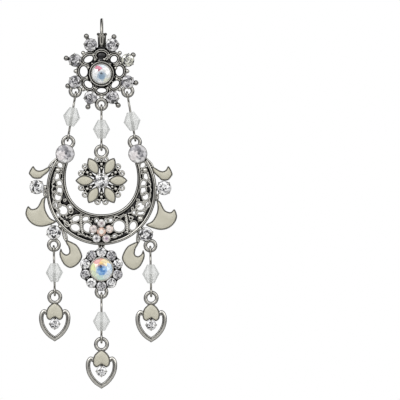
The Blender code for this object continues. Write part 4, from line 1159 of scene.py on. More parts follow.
@dataclass
class Studio:
    """A white studio: pale floor, soft lights in front and behind, and the camera straight in front."""

    frame_mm: float = 92.0
    center: tuple[float, float] = (22.66, -41.26)
    distance: float = 1500.0
    sensor: float = 36.0
    floor_drop: float = 200.0

    def build(self) -> None:
        """Makes the world, lights, floor and camera."""
        scene = bpy.context.scene
        scene.view_settings.view_transform = "Standard"
        self.make_world(scene)
        self.make_floor()
        for name, place, size, power, tone in (
            ("key_softbox", (-420, -620, 420), 420, 1.22, "#FFFFFF"),
            ("fill_softbox", (520, -560, 160), 380, 0.70, "#FFFDF8"),
            ("low_softbox", (0, -640, -420), 300, 0.25, "#FFFFFF"),
            ("rear_softbox", (360, 640, 300), 420, 0.90, "#FFFFFF"),
        ):
            self.make_light(name, place, size, power, tone)
        camera = bpy.data.cameras.new("camera")
        camera.sensor_width = self.sensor
        camera.lens = self.sensor * (self.distance + FACE_Y) / self.frame_mm
        camera.clip_end = 10.0
        item = bpy.data.objects.new("camera", camera)
        item.location = (self.center[0] * MM, -self.distance * MM, self.center[1] * MM)
        item.rotation_euler = (math.pi / 2, 0, 0)
        scene.collection.objects.link(item)
        scene.camera = item

    def make_world(self, scene: bpy.types.Scene) -> None:
        """A sky that is seen white, and that lights and reflects brightest from above and in front.

        Args:
            scene: the scene that it lights.
        """
        world = bpy.data.worlds.new("studio")
        world.use_nodes = True
        scene.world = world
        tree = world.node_tree
        tree.nodes.clear()
        ray = add(tree, "ShaderNodeTexCoord").outputs["Generated"]
        parts = add(tree, "ShaderNodeSeparateXYZ", {0: ray})
        ceiling = add(
            tree, "ShaderNodeMapRange",
            {
                "From Min": -0.45, "From Max": 0.65, "To Min": 0.10, "To Max": 1.55,
                "Value": parts.outputs["Z"],
            },
            interpolation_type="SMOOTHSTEP",
        )
        front = add(
            tree, "ShaderNodeMapRange",
            {
                "From Min": 0.30, "From Max": -0.70, "To Min": 0.07, "To Max": 1.0,
                "Value": parts.outputs["Y"],
            },
            interpolation_type="SMOOTHSTEP",
        )
        light = add(tree, "ShaderNodeMath", {0: ceiling.outputs["Result"], 1: front.outputs["Result"]},
                    operation="MULTIPLY")
        studio = add(
            tree, "ShaderNodeBackground", {"Color": (1, 1, 1, 1), "Strength": light.outputs["Value"]}
        )
        seen = add(tree, "ShaderNodeBackground", {"Color": (1, 1, 1, 1), "Strength": 1.0})
        path = add(tree, "ShaderNodeLightPath").outputs
        clear = add(tree, "ShaderNodeMath", {0: path["Is Camera Ray"], 1: path["Is Transmission Ray"]},
                    operation="MAXIMUM")
        mix = add(
            tree, "ShaderNodeMixShader",
            {0: clear.outputs["Value"], 1: studio.outputs["Background"], 2: seen.outputs["Background"]},
        )
        add(tree, "ShaderNodeOutputWorld", {"Surface": mix.outputs["Shader"]})

    def make_floor(self) -> None:
        """A pale matt floor below the hanging jewel."""
        half = 0.6
        mesh = bpy.data.meshes.new("floor")
        z = -self.floor_drop * MM
        mesh.from_pydata(
            [(-half, -half, z), (half, -half, z), (half, half, z), (-half, half, z)], [], [(0, 1, 2, 3)]
        )
        material, _, _ = new_material("matt_white_floor", {"Base Color": rgba("#F2F2F0"), "Roughness": 0.8})
        mesh.materials.append(material)
        item = bpy.data.objects.new("floor", mesh)
        bpy.context.scene.collection.objects.link(item)

    def make_light(self, name: str, place: Sequence[float], size: float, power: float, tone: str) -> None:
        """A square soft light that faces the jewel's middle.

        Args:
            name: its name.
            place: where it stands, in millimetres.
            size: its side in millimetres.
            power: its power in watts.
            tone: its colour.
        """
        light = bpy.data.lights.new(name, "AREA")
        light.size = size * MM
        light.energy = power
        light.color = linear(tone)
        item = bpy.data.objects.new(name, light)
        start = Vector(place) * MM
        item.location = start
        item.rotation_euler = (Vector((0, 0, -0.041)) - start).to_track_quat("-Z", "Y").to_euler()
        bpy.context.scene.collection.objects.link(item)


@dataclass
class EarWire:
    """The leverback: arch, hairpin eye, strap and hinge, with the lever behind."""

    wire: float = 0.32
    span: float = 6.4
    eye_top: float = 2.9
    eye_length: float = 2.75
    eye_width: float = 0.95
    tip: float = 1.5
    strap: tuple[float, float, float] = (1.3, 1.15, 0.35)
    hinge_drop: float = 11.6
    hinge_behind: float = 2.75
    lever_top: float = 2.7

    def build(self, shop: Workshop) -> None:
        """Builds the wire and the lever.

        Args:
            shop: what makes the pieces.
        """
        shop.piece("leverback_wire", self.front(), WIRE, Body.ROOT, ["ear_wire"])
        # The lever is toned to 0.26 of the wire's colour: painted shade, as it stands behind the jewel.
        shop.piece("leverback_lever", toned(self.lever(), 0.26), WIRE, Body.LEVER, ["ear_lever"])

    def front(self) -> Shell:
        """The arch and its hairpin, the strap, and the hinge's ears and pin.

        Returns:
            The closed shells.
        """
        half = self.span / 2
        turns = np.linspace(math.pi, 0, 40)
        arch = np.stack([0 * turns, half * np.cos(turns), self.wire - half + half * np.sin(turns)], axis=1)
        foot = np.array([[0.0, FACE_Y, -self.eye_top - 0.35]])
        tip = np.array([[0.0, half, arch[-1][2] - self.tip * 0.7], [0.0, half, arch[-1][2] - self.tip]])
        path = np.concatenate([foot, arch, tip])
        radius = np.full(len(path), self.wire)
        radius[-1] = self.wire * 0.6
        parts = [tube(path, radius, 20, normal=ACROSS)]
        round_radius = self.eye_width / 2 - 0.17
        straight = self.eye_length / 2 - self.eye_width / 2
        loop = circle(40, round_radius)
        loop[:, 1] += np.where(loop[:, 1] >= 0, straight, -straight)
        middle = -self.eye_top - self.eye_length / 2
        hairpin = on_face(loop + (0, middle), 0.05)
        parts.append(tube(hairpin, 0.235, 12, closed=True))
        bars = on_face(np.array(((0.0, middle + straight + 0.35), (0.0, middle + straight * 0.35))), -0.05)
        parts.append(tube(bars, (0.30, 0.22), 12))
        width, behind, thick = self.strap
        top, low = -self.eye_top - self.eye_width / 2, -self.hinge_drop
        outline = spline(
            (
                (-0.5 * width, low), (-0.5 * width, -7.5), (-0.62 * width, top - 0.6),
                (-0.62 * width, top - 0.1), (-0.3 * width, top), (0.3 * width, top),
                (0.62 * width, top - 0.1), (0.62 * width, top - 0.6), (0.5 * width, -7.5),
                (0.5 * width, low),
            ),
            4, closed=False,
        )
        parts.append(plate(outline, lambda p: np.full(len(p), -behind), behind + thick))
        bridge = np.array(((-0.31, top - 0.95), (0.31, top - 0.95), (0.31, top - 0.32), (-0.31, top - 0.32)))
        parts.append(plate(bridge, lambda p: np.full(len(p), 0.0), behind + thick / 2))
        hinge = FACE_Y + self.hinge_behind
        barrel = 0.8
        ear = np.array(((-1.2, low - barrel), (1.2, low - barrel), (1.2, low + barrel), (-1.2, low + barrel)))
        parts.append(plate(ear, lambda p: np.full(len(p), -behind - 0.12), behind + 0.47))
        for side in (-1, 1):
            x0 = side * 0.85
            path = np.array(((x0, FACE_Y + behind + 0.3, low), (x0, hinge + 0.1, low)))
            parts.append(
                carried(
                    path, np.array(((-0.17, -0.5), (0.17, -0.5), (0.17, 0.5), (-0.17, 0.5))), normal=UPWARD,
                    smooth=False,
                )
            )
            parts.append(
                turned(
                    ((0.05, -0.17), (0.48, -0.17), (0.5, -0.1), (0.5, 0.1), (0.48, 0.17), (0.05, 0.17)),
                    np.array((x0, hinge, low)), ACROSS, 24,
                )
            )
        pin = ((0.05, -1.12), (0.2, -1.12), (0.25, -1.05), (0.25, 1.05), (0.2, 1.12), (0.05, 1.12))
        parts.append(turned(pin, np.array((0, hinge, low)), ACROSS, 20))
        return join(parts)

    def lever(self) -> Shell:
        """The bent channel: rolled barrel, strip, and two flanges that hold the wire's tip.

        Returns:
            The closed shells.
        """
        hinge = FACE_Y + self.hinge_behind
        back = self.span / 2 + self.wire + 0.30 + 0.14 - hinge
        top = self.hinge_drop - self.lever_top
        bore, wall = 0.50, 0.30
        ring = circle(28)
        tube_wall = np.array(((bore, -0.55), (bore + wall, -0.55), (bore + wall, 0.55), (bore, 0.55)))
        center = np.array((0.0, hinge, -self.hinge_drop))
        around = ring[:, :1] * FORWARD + ring[:, 1:] * UPWARD
        rows = center + around[:, None] * tube_wall[None, :, :1] + tube_wall[None, :, 1:] * ACROSS
        parts = [loft(rows, closed=True)]
        path = spline(
            (
                (0, 0.0, -0.65), (0, 0.30 * back, -0.62), (0, 0.62 * back, -0.03 * top),
                (0, 0.86 * back, 0.10 * top), (0, 0.97 * back, 0.28 * top), (0, back, 0.50 * top),
                (0, back, top),
            ),
            8,
        ) + center
        half = np.interp(np.linspace(0, 1, len(path)), (0, 0.3, 0.6, 1), (0.55, 0.5, 0.6, 0.75))
        unit_strip = np.array(((-0.14, -1), (0.14, -1), (0.14, 1), (-0.14, 1)), float)
        strip = np.repeat(unit_strip[None], len(path), axis=0)
        strip[..., 1] *= half[:, None]
        parts.append(carried(path, strip, normal=ACROSS, smooth=False))
        low = 0.46 * top
        for side in (-1, 1):
            flange = np.array(
                (
                    (side * 0.76, back - 0.10, low), (side * 0.78, back - 0.5, low + 0.8),
                    (side * 0.80, back - 0.62, (low + top) / 2), (side * 0.86, back - 0.62, top - 0.35),
                )
            ) + center
            section = np.array(((-0.13, -0.40), (0.13, -0.40), (0.13, 0.32), (-0.13, 0.32)))
            parts.append(carried(spline(flange, 6), section, normal=-FORWARD, smooth=False))
            parts.append(ball(flange[-1] + (0, 0, 0.08), 0.34, 9, 16))
        return join(parts)


@dataclass
class Rosette:
    """The cast rosette: pierced plate, looped ridges, centre bezel, eight cups, balls and three rings."""

    drop: float = 11.64
    count: int = 8
    stone_radius: float = 1.47
    stone_circle: float = 6.53
    center_radius: float = 2.36
    plate_radius: float = 5.35
    bezel_drop: float = 0.62
    bezel_lift: float = 0.45
    edge_circle: float = 5.95
    rings: tuple[tuple[float, float], ...] = ((-6.03, -16.22), (6.03, -16.22), (0.0, -19.25))
    ring_radius: float = 1.12
    # openings: across and up from the centre, half sizes, turn in degrees; the topmost is a blind pocket
    openings: tuple = (
        (4.12, 0.02, 1.12, 0.82, 90), (2.84, 2.78, 0.78, 0.70, 45), (0.0, 3.62, 0.98, 0.62, 0),
        (-2.98, 2.76, 1.05, 0.68, 28), (-4.08, -0.06, 1.20, 0.88, 92), (-3.02, -3.02, 1.02, 0.66, 138),
        (0.05, -4.42, 1.02, 0.52, 0), (3.16, -2.98, 1.02, 0.62, 42),
    )
    # granules beside the bezel: across, up, radius
    granules: tuple = (
        (-2.99, 0.83, 0.40), (3.24, 0.71, 0.40), (-3.29, -1.63, 0.40), (3.47, -1.75, 0.42),
        (-1.52, -3.84, 0.36), (1.38, -3.84, 0.36), (0.64, 2.72, 0.36), (-1.50, 2.55, 0.30),
        (-1.85, 3.85, 0.30), (1.75, 3.75, 0.32), (-4.55, 1.75, 0.34), (4.50, 1.85, 0.34),
        (-4.60, -1.90, 0.34), (4.65, -1.85, 0.32), (-1.95, -4.75, 0.30), (2.00, -4.70, 0.30),
        (-0.55, 2.35, 0.24), (1.95, 1.65, 0.26), (-2.15, 1.75, 0.26), (-2.45, -2.40, 0.24),
        (2.55, -2.45, 0.24), (0.0, -5.35, 0.26),
    )
    # tip balls: across and up from the centre
    tips: tuple = (
        (-3.47, 8.05), (2.88, 7.91), (7.29, 3.73), (7.91, -2.67), (3.84, -7.84), (-3.11, -8.21),
        (-7.73, -3.40), (-8.10, 2.99),
    )

    def build(self, shop: Workshop) -> None:
        """Builds the frame and its nine stones.

        Args:
            shop: what makes the pieces.
        """
        shop.piece("rosette_casting", self.casting(), SILVER, Body.ROOT, ["rosette_frame"])
        for number, place in enumerate(self.places(self.stone_circle, 22.5)):
            # Painted facet reflections: the olive set on the first stone, the misty set on the rest.
            tones = MISTY_REFLECTION_TONES if number else OLIVE_REFLECTION_TONES
            stone = Brilliant(self.stone_radius * 0.98, tones=tones).shell(
                on_face(place, GIRDLE_HEIGHT), 40 + number, turn=22.5
            )
            name = f"rosette_stone_{number + 1}"
            shop.piece(f"{name}_cut", stone, CRYSTAL, Body.ROOT, [name])
        # The centre stone's coating colours, with a painted white highlight and painted dark reflections at
        # its middle.
        paint = coating_and_reflection_paint("#F4F5F6", (
            (0.0, 0.95, 0.40, "#DCE4EE"), (-0.55, -0.70, 0.30, "#D9E2E8"), (0.65, -0.60, 0.28, "#E6E9D2"),
            (0.02, -0.22, 0.44, "#9DB1C3"), (0.02, -0.30, 0.26, "#7F9BB4"), (0.0, 0.05, 0.12, "#3E4650"),
            (-0.27, 0.55, 0.24, "#D9829B"), (-0.22, 0.42, 0.12, "#A93A55"), (0.55, 0.30, 0.22, "#FFFFFF"),
        ))
        place = on_face((0, -self.drop - self.bezel_drop), GIRDLE_HEIGHT + self.bezel_lift)
        stone = Brilliant(self.center_radius).shell(place, 7, paint, 11.0)
        shop.piece("rosette_center_cut", stone, IRIDESCENT, Body.ROOT, ["rosette_center_stone"])

    def places(self, radius: float, start: float) -> np.ndarray:
        """Places on a circle round the rosette's centre, from this angle in degrees."""
        return circle(self.count, radius, math.radians(start)) + (0, -self.drop)

    def casting(self) -> Shell:
        """All of the rosette's metal.

        Returns:
            The closed shells.
        """
        center = np.array((0.0, -self.drop))
        turns = np.linspace(0, 2 * math.pi, 129)[:-1]
        reach = self.plate_radius + 0.30 * np.abs(np.cos(self.count * turns / 2))
        edge = center + np.stack([reach * np.cos(turns), reach * np.sin(turns)], axis=1)
        holes = []
        parts = []
        for number, (across, up, long_half, short_half, turn) in enumerate(self.openings):
            place = center + (across, up)
            if number != 2:
                holes.append(oval(place, (long_half, short_half), turn))
            outward = math.radians(number * 45.0)
            for reach_out, wire in ((0.34, 0.15), (0.74, 0.17)):
                loop = grown(oval(place, (long_half, short_half), turn, 60), reach_out)
                offset = loop - place
                facing = np.abs(np.angle(np.exp(1j * (np.arctan2(offset[:, 1], offset[:, 0]) - outward))))
                first = int(np.argmax(facing))
                arc = np.roll(loop, -first, axis=0)[7:-7]
                parts.append(ridge(arc, wire, 0.62 - 0.16 * (reach_out > 0.5)))
        parts.append(plate(edge, lambda p: np.full(len(p), 0.14), 0.42, holes, tint=OXIDE_TINT))
        parts.append(
            Bezel(self.center_radius, rim=0.24).metal((0, -self.drop - self.bezel_drop), self.bezel_lift)
        )
        for number, place in enumerate(self.places(self.stone_circle, 22.5)):
            cup = ClawCup(self.stone_radius, claws=3, claw_wire=0.15, first_claw=22.5 + number * 45 + 60)
            parts.append(cup.metal(place))
            tip = center + self.tips[(2 - number) % 8]
            parts.append(ridge(np.stack([place + 0.6 * (tip - place), tip]), 0.42, 0.35))
        parts += [toned(ball(on_face(center + tip, 0.1), 0.60, 9, 16), 0.5) for tip in self.tips]
        parts += [
            ball(on_face(place, 0.1), 0.48, 9, 16)
            for place in np.delete(self.places(self.edge_circle, 0), 2, 0)
        ]
        parts += [
            ball(on_face(center + (across, up), 0.38), radius, 7, 12)
            for across, up, radius in self.granules
        ]
        parts += [torus(on_face(place), self.ring_radius, RING_TUBE) for place in self.rings]
        return join(parts)


@dataclass
class Links:
    """The six wire links with their eyes, and the milky bicones threaded on them."""

    bead_waist: float = 2.05
    bead_end: float = 0.85
    bead_length: float = 4.3
    bore: float = 0.42
    strands: tuple = (
        ("upper", "left", (-6.03, 17.34), (-7.65, 26.73), 0.10, Body.CRESCENT),
        ("upper", "right", (6.03, 17.34), (7.65, 26.73), 1.15, Body.CRESCENT),
        ("upper", "center", (0.0, 20.37), (0.0, 28.88), 0.35, Body.FLOWER),
        ("lower", "left", (-10.95, 52.77), (-10.75, 62.27), 0.45, Body.CRESCENT),
        ("lower", "right", (11.25, 52.92), (11.42, 62.50), 0.55, Body.CRESCENT),
        ("lower", "center", (0.0, 63.59), (0.0, 73.15), 0.80, Body.CRESCENT),
    )

    def build(self, shop: Workshop) -> None:
        """Builds each link and its bead.

        Args:
            shop: what makes the pieces.
        """
        for level, word, start, end, slide, body in self.strands:
            top, bottom = on_face((start[0], -start[1])), on_face((end[0], -end[1]))
            direction = unit(bottom - top)
            wire = self.wire(top, bottom, direction)
            shop.piece(f"{level}_wire_{word}", wire, WIRE, body, [f"{level}_link_{word}"])
            bead = self.bead((top + bottom) / 2 + direction * slide, direction)
            shop.piece(f"{level}_bicone_{word}", bead, MILKY, body, [f"{level}_bead_{word}"])

    def wire(self, top: np.ndarray, bottom: np.ndarray, direction: np.ndarray) -> Shell:
        """A link: a straight shank, and at each end an eye that stands front to back.

        Args:
            top: the upper eye's centre.
            bottom: the lower eye's centre.
            direction: from top to bottom.

        Returns:
            The closed shells.
        """
        sideways = unit(np.cross(direction, FORWARD))
        loop = circle(32, EYE_RADIUS)
        parts = []
        for center in (top, bottom):
            path = center + loop[:, :1] * direction + loop[:, 1:] * FORWARD
            parts.append(tube(path, LINK_WIRE, 12, normal=sideways, closed=True))
        ends = np.stack([top + direction * EYE_RADIUS, bottom - direction * EYE_RADIUS])
        parts.append(tube(np.linspace(*ends, 6), LINK_WIRE, 12, normal=sideways))
        return join(parts)

    def bead(self, center: np.ndarray, direction: np.ndarray) -> Shell:
        """A bicone: two rows of flat facets between its waist and its narrow ends, with its bore.

        Args:
            center: its middle.
            direction: its axis.

        Returns:
            The closed shell.
        """
        half = self.bead_length / 2
        first = unit(np.cross(direction, FORWARD))
        second = np.cross(direction, first)
        profile = np.array(
            (
                (self.bore, -half), (self.bead_end, -half), (self.bead_waist, 0.0), (self.bead_end, half),
                (self.bore, half),
            )
        )
        loop = circle(12, turn=math.pi / 12)
        around = loop[:, :1] * first + loop[:, 1:] * second
        rows = center + profile[None, :, 1:] * direction + profile[None, :, :1] * around[:, None]
        return loft(rows, closed=True, smooth=False)


@dataclass
class Pad:
    """An enamel pad in its metal tray, from one outline: tray, raised rim, and a pillowed pad inside it."""

    outline: np.ndarray
    rim: float = 0.11
    floor: float = 0.10
    height: float = 0.46
    back: float = 0.45
    rise: float = 0.34
    shoulder: float = 0.9

    def tray(self) -> Shell:
        """The tray's dark floor and its bright rim, a wire that follows the outline, its sides painted black:
        painted shade where they turn sideways.

        Returns:
            The closed shells.
        """
        floor = plate(self.outline, lambda p: np.full(len(p), self.floor), self.back, tint=OXIDE_TINT)
        path = on_face(grown(self.outline, -self.rim), self.height - 0.16)
        angles = (np.arange(12) + 0.5) * math.pi / 6
        section = np.stack([self.rim * np.cos(angles), 0.30 * np.sin(angles)], axis=1)
        # The rim's front and back keep 0.42 of the metal's colour; its sides are painted black: painted shade
        # where they turn sideways.
        crown = np.abs(np.cos(angles + math.pi / 12)) < 0.8
        rim = carried(path, section, closed=True, tint=np.where(crown[:, None], 0.42, 0.05) * white(12))
        return join([floor, rim])

    def enamel(self) -> Shell:
        """The pad: its height rises from the rim as a quarter circle does over the shoulder's width.

        Returns:
            The closed shell.
        """
        edge = grown(self.outline, -self.rim * 1.75)

        def pillow(points: np.ndarray) -> np.ndarray:
            """The height at each flat point, from its distance to the edge."""
            near = np.clip(edge_distance(points, edge) / self.shoulder, 0, 1)
            return self.floor + 0.28 + self.rise * np.sqrt(1 - (1 - near) ** 2)

        return plate(edge, pillow, -self.floor - 0.03, spacing=0.16)


@dataclass
class Flower:
    """The flower pendant: six enamel petals round a claw-set stone, with balls and curls between them."""

    drop: float = 36.80
    ring_drop: float = 30.18
    ring_radius: float = 1.30
    stone_radius: float = 1.75
    petal: tuple[float, float, float] = (1.58, 5.98, 1.24)

    def petal_outline(self) -> np.ndarray:
        """A pointed oval along +across: its half width follows the sine of the share of its length.

        Returns:
            The closed outline.
        """
        start, tip, half = self.petal
        share = np.linspace(0, 1, 25)
        wide = half * np.sin(math.pi * share**1.05) ** 0.72
        upper = np.stack([start + (tip - start) * share, wide], axis=1)
        return np.concatenate([upper, upper[1:-1][::-1] * (1, -1)])

    def build(self, shop: Workshop) -> None:
        """Builds the frame, the petals and the stone.

        Args:
            shop: what makes the pieces.
        """
        center = np.array((0.0, -self.drop))
        cup = ClawCup(self.stone_radius, claws=6, claw_wire=0.16, first_claw=0.0)
        parts = [cup.metal(center), torus(on_face((0, -self.ring_drop)), self.ring_radius, RING_TUBE)]
        for number in range(6):
            angle = number * math.pi / 3
            outline = self.turned(self.petal_outline(), angle) + center
            pad = Pad(outline, shoulder=0.7)
            parts.append(pad.tray())
            tip = self.turned(np.array(((5.45, 0.0),)), angle)[0] + center
            parts.append(ball(on_face(tip, 0.42), 0.24, 6, 10))
            enamel = pad.enamel()
            name = f"flower_petal_{number + 1}"
            shop.piece(f"{name}_enamel", enamel, ENAMEL, Body.FLOWER, [name])
            parts += self.between(center, angle + math.pi / 6)
        shop.piece("flower_casting", join(parts), SILVER, Body.FLOWER, ["flower_frame"])
        shop.piece("flower_stone_cut", cup.stone(center, 77), CRYSTAL, Body.FLOWER, ["flower_stone"])

    @staticmethod
    def turned(points: np.ndarray, angle: float) -> np.ndarray:
        """Flat points turned about the origin."""
        cosine, sine = math.cos(angle), math.sin(angle)
        return points @ np.array(((cosine, sine), (-sine, cosine)))

    def between(self, center: np.ndarray, angle: float) -> list[Shell]:
        """What fills the gap between two petals: a dark spoke, two balls and two outward curls.

        Args:
            center: the flower's centre.
            angle: the gap's middle.

        Returns:
            The closed shells.
        """
        out = np.array((math.cos(angle), math.sin(angle)))
        side = np.array((-out[1], out[0]))
        half = np.array(
            ((1.3, 0.2), (2.4, 0.34), (3.2, 0.62), (4.0, 0.98), (4.5, 1.12), (4.9, 0.86), (4.75, 0.0))
        )
        right = half[:, :1] * out + half[:, 1:] * side
        left = (half[:, :1] * out - half[:, 1:] * side)[:-1][::-1]
        parts = [
            plate(
                np.concatenate([right, left]) + center, lambda p: np.full(len(p), 0.02), 0.42,
                tint=OXIDE_TINT,
            )
        ]
        parts.append(ball(on_face(center + out * 2.83, 0.15), 0.40, 7, 12))
        parts.append(ball(on_face(center + out * 3.75, 0.12), 0.46, 7, 12))
        for sign in (-1, 1):
            place = center + out * 4.88 + side * sign * 0.90
            parts.append(ridge(oval(place, (0.50, 0.50), 0), 0.25, 0.42, closed=True))
            line = np.array(
                (
                    center + out * 4.25 + side * sign * 0.14, center + out * 4.5 + side * sign * 0.3,
                    place - out * 0.45,
                )
            )
            parts.append(ridge(line, 0.2, 0.38))
            inner = center + out * 3.30 + side * sign * 0.52
            parts.append(ball(on_face(inner, 0.10), 0.24, 6, 10))
        return parts


@dataclass(frozen=True)
class Lace:
    """One side's pierced and raised work, as places across and up from the crescent's centre.

    Args:
        openings: across, up, long half size, short half size and turn in degrees.
        granules: across, up and radius.
        scrolls: across, up, radius at both ends, angle at both ends in degrees, and half width at both ends.
        vines: wavy lines: reach from the centre and turn from straight down at both ends, and waves.
        rope: the twisted bar's two ends.
    """

    openings: tuple
    granules: tuple
    scrolls: tuple
    vines: tuple
    rope: tuple

    def shells(self) -> list[Shell]:
        """The raised work, about the crescent's centre.

        Returns:
            The closed shells.
        """
        parts = []
        for across, up, long_half, short_half, turn in self.openings:
            line = grown(oval((across, up), (long_half, short_half), turn, 30), 0.19)
            parts.append(toned(ridge(line, 0.22, 0.50, closed=True), 0.78))
        parts += [ball(on_face((across, up), 0.22), radius, 8, 12) for across, up, radius in self.granules]
        for across, up, big, small, start, end, thick, thin in self.scrolls:
            parts.append(curl((across, up), (big, small), (start, end), (thick, thin), 0.56))
        for reach_start, reach_end, turn_start, turn_end, waves in self.vines:
            steps = np.linspace(0, 1, 18 * waves)
            reach = reach_start + (reach_end - reach_start) * steps + 0.09 * np.sin(
                steps * waves * 2 * math.pi
            )
            turn = np.radians(turn_start + (turn_end - turn_start) * steps)
            parts.append(ridge(np.stack([reach * np.sin(turn), -reach * np.cos(turn)], axis=1), 0.21, 0.50))
        ends = np.array(self.rope)
        steps = np.linspace(0, 1, 60)[:, None]
        bow = np.array((0.18, 0.0)) * np.sin(steps * math.pi)
        parts.append(rope(on_face(ends[0] * (1 - steps) + ends[1] * steps + bow, 0.28), 0.34, 4.5))
        return parts


UPPER_OPENINGS = (
    (9.50, 5.72, 0.62, 0.48, 50), (10.22, 3.07, 0.74, 0.50, 100), (9.66, 1.55, 0.72, 0.50, 60),
    (9.62, -0.12, 0.84, 0.56, 90), (10.00, -1.62, 0.78, 0.70, 90), (10.62, -3.42, 0.62, 0.42, 70),
)
UPPER_GRANULES = (
    (10.03, 4.53, 0.70), (9.15, -1.02, 0.28), (8.98, 2.52, 0.28), (10.75, 6.05, 0.26), (10.98, 0.85, 0.30),
    (10.40, 0.72, 0.24), (9.30, 3.85, 0.30), (8.95, 0.70, 0.24), (11.05, -2.55, 0.26), (10.98, 5.30, 0.22),
)
UPPER_SCROLLS = (
    (9.73, -2.90, 0.46, 0.20, 200, 620, 0.17, 0.12), (9.35, 4.50, 0.34, 0.16, 100, 460, 0.16, 0.11),
    (10.95, 1.95, 0.30, 0.14, 250, 620, 0.15, 0.11), (9.55, -3.75, 0.30, 0.14, 0, 340, 0.14, 0.10),
    (10.85, -0.45, 0.30, 0.14, 90, 430, 0.15, 0.11), (8.48, -2.30, 0.40, 0.18, 120, 480, 0.17, 0.12),
)
LEFT_LACE = Lace(
    openings=(
        *UPPER_OPENINGS, (8.82, -4.63, 1.05, 0.94, 45), (7.18, -3.95, 0.46, 0.34, 45),
        (5.86, -6.55, 0.92, 0.56, 155), (6.02, -8.62, 1.05, 0.78, 20), (3.66, -6.62, 0.72, 0.46, 165),
        (3.20, -8.62, 1.08, 0.92, 60), (1.12, -7.05, 0.36, 0.30, 90), (9.95, -5.72, 0.40, 0.28, 60),
        (2.10, -9.98, 0.36, 0.26, 20),
    ),
    granules=(
        *UPPER_GRANULES, (8.58, -3.54, 0.28), (8.46, -7.22, 0.44), (7.36, -8.10, 0.40), (7.98, -6.35, 0.32),
        (7.06, -7.13, 0.36), (4.90, -7.52, 0.26), (2.35, -7.20, 0.30), (8.15, -6.00, 0.24),
        (9.25, -6.65, 0.26), (1.75, -10.60, 0.28), (2.55, -10.70, 0.26), (3.35, -10.50, 0.28),
        (4.10, -10.25, 0.24), (2.05, -6.75, 0.24), (7.85, -5.55, 0.26), (8.75, -6.10, 0.22),
    ),
    scrolls=(
        *UPPER_SCROLLS, (7.10, -4.95, 0.66, 0.22, 80, 470, 0.20, 0.14),
        (7.95, -7.75, 0.70, 0.22, 210, 620, 0.20, 0.13), (6.70, -7.45, 0.42, 0.18, 330, -60, 0.17, 0.12),
        (9.90, -4.85, 0.36, 0.16, 20, 400, 0.16, 0.11), (2.70, -7.15, 0.34, 0.15, 160, 470, 0.15, 0.11),
        (4.75, -5.80, 0.32, 0.15, 0, 380, 0.15, 0.10), (7.30, -6.25, 0.36, 0.15, 90, 420, 0.15, 0.10),
        (5.10, -10.05, 0.34, 0.15, 300, 640, 0.15, 0.10),
    ),
    vines=((11.30, 11.30, 112, 64, 7), (11.25, 11.25, 58, 44, 2), (11.20, 11.20, 26, 9, 3)),
    rope=((4.66, -5.95), (4.30, -10.10)),
)
RIGHT_LACE = Lace(
    openings=(
        *UPPER_OPENINGS[:4], (10.12, -1.50, 0.74, 0.66, 90), (10.62, -3.30, 0.56, 0.40, 70),
        (8.98, -3.80, 0.92, 0.86, 45), (9.05, -5.28, 0.78, 0.34, 10), (4.05, -8.35, 1.32, 1.26, 0),
        (7.25, -8.25, 0.98, 0.74, 65), (2.05, -6.95, 0.52, 0.36, 20), (3.00, -10.55, 0.42, 0.26, 15),
        (7.45, -5.15, 0.40, 0.30, 120), (1.12, -7.05, 0.34, 0.28, 90),
    ),
    granules=(
        *UPPER_GRANULES, (8.92, -6.62, 0.80), (7.98, -3.60, 0.30), (8.05, -5.90, 0.30), (6.30, -5.95, 0.28),
        (5.55, -6.95, 0.28), (2.45, -7.95, 0.28), (2.25, -9.35, 0.28), (1.85, -10.60, 0.28),
        (4.75, -10.10, 0.26), (5.50, -9.70, 0.26), (6.75, -9.45, 0.28), (8.05, -7.50, 0.28),
        (9.75, -5.70, 0.26), (8.15, -2.90, 0.24),
    ),
    scrolls=(
        *UPPER_SCROLLS[:3], UPPER_SCROLLS[5], (6.80, -6.55, 0.52, 0.30, 0, 420, 0.18, 0.14),
        (3.40, -6.55, 0.62, 0.24, 10, 330, 0.20, 0.13), (7.20, -4.35, 0.42, 0.18, 60, 420, 0.17, 0.12),
        (9.90, -2.55, 0.34, 0.15, 200, 560, 0.16, 0.11), (9.85, -4.55, 0.34, 0.15, 20, 400, 0.16, 0.11),
        (6.55, -10.05, 0.34, 0.15, 300, 640, 0.15, 0.10), (4.45, -6.25, 0.34, 0.15, 0, 380, 0.15, 0.10),
        (5.05, -5.75, 0.30, 0.14, 180, 520, 0.15, 0.10),
    ),
    vines=(
        (11.30, 11.30, 112, 64, 7), (11.25, 11.25, 58, 49, 2), (11.20, 11.20, 24, 10, 2),
        (9.30, 8.30, 68, 48, 3),
    ),
    rope=((5.55, -5.55), (5.95, -9.95)),
)


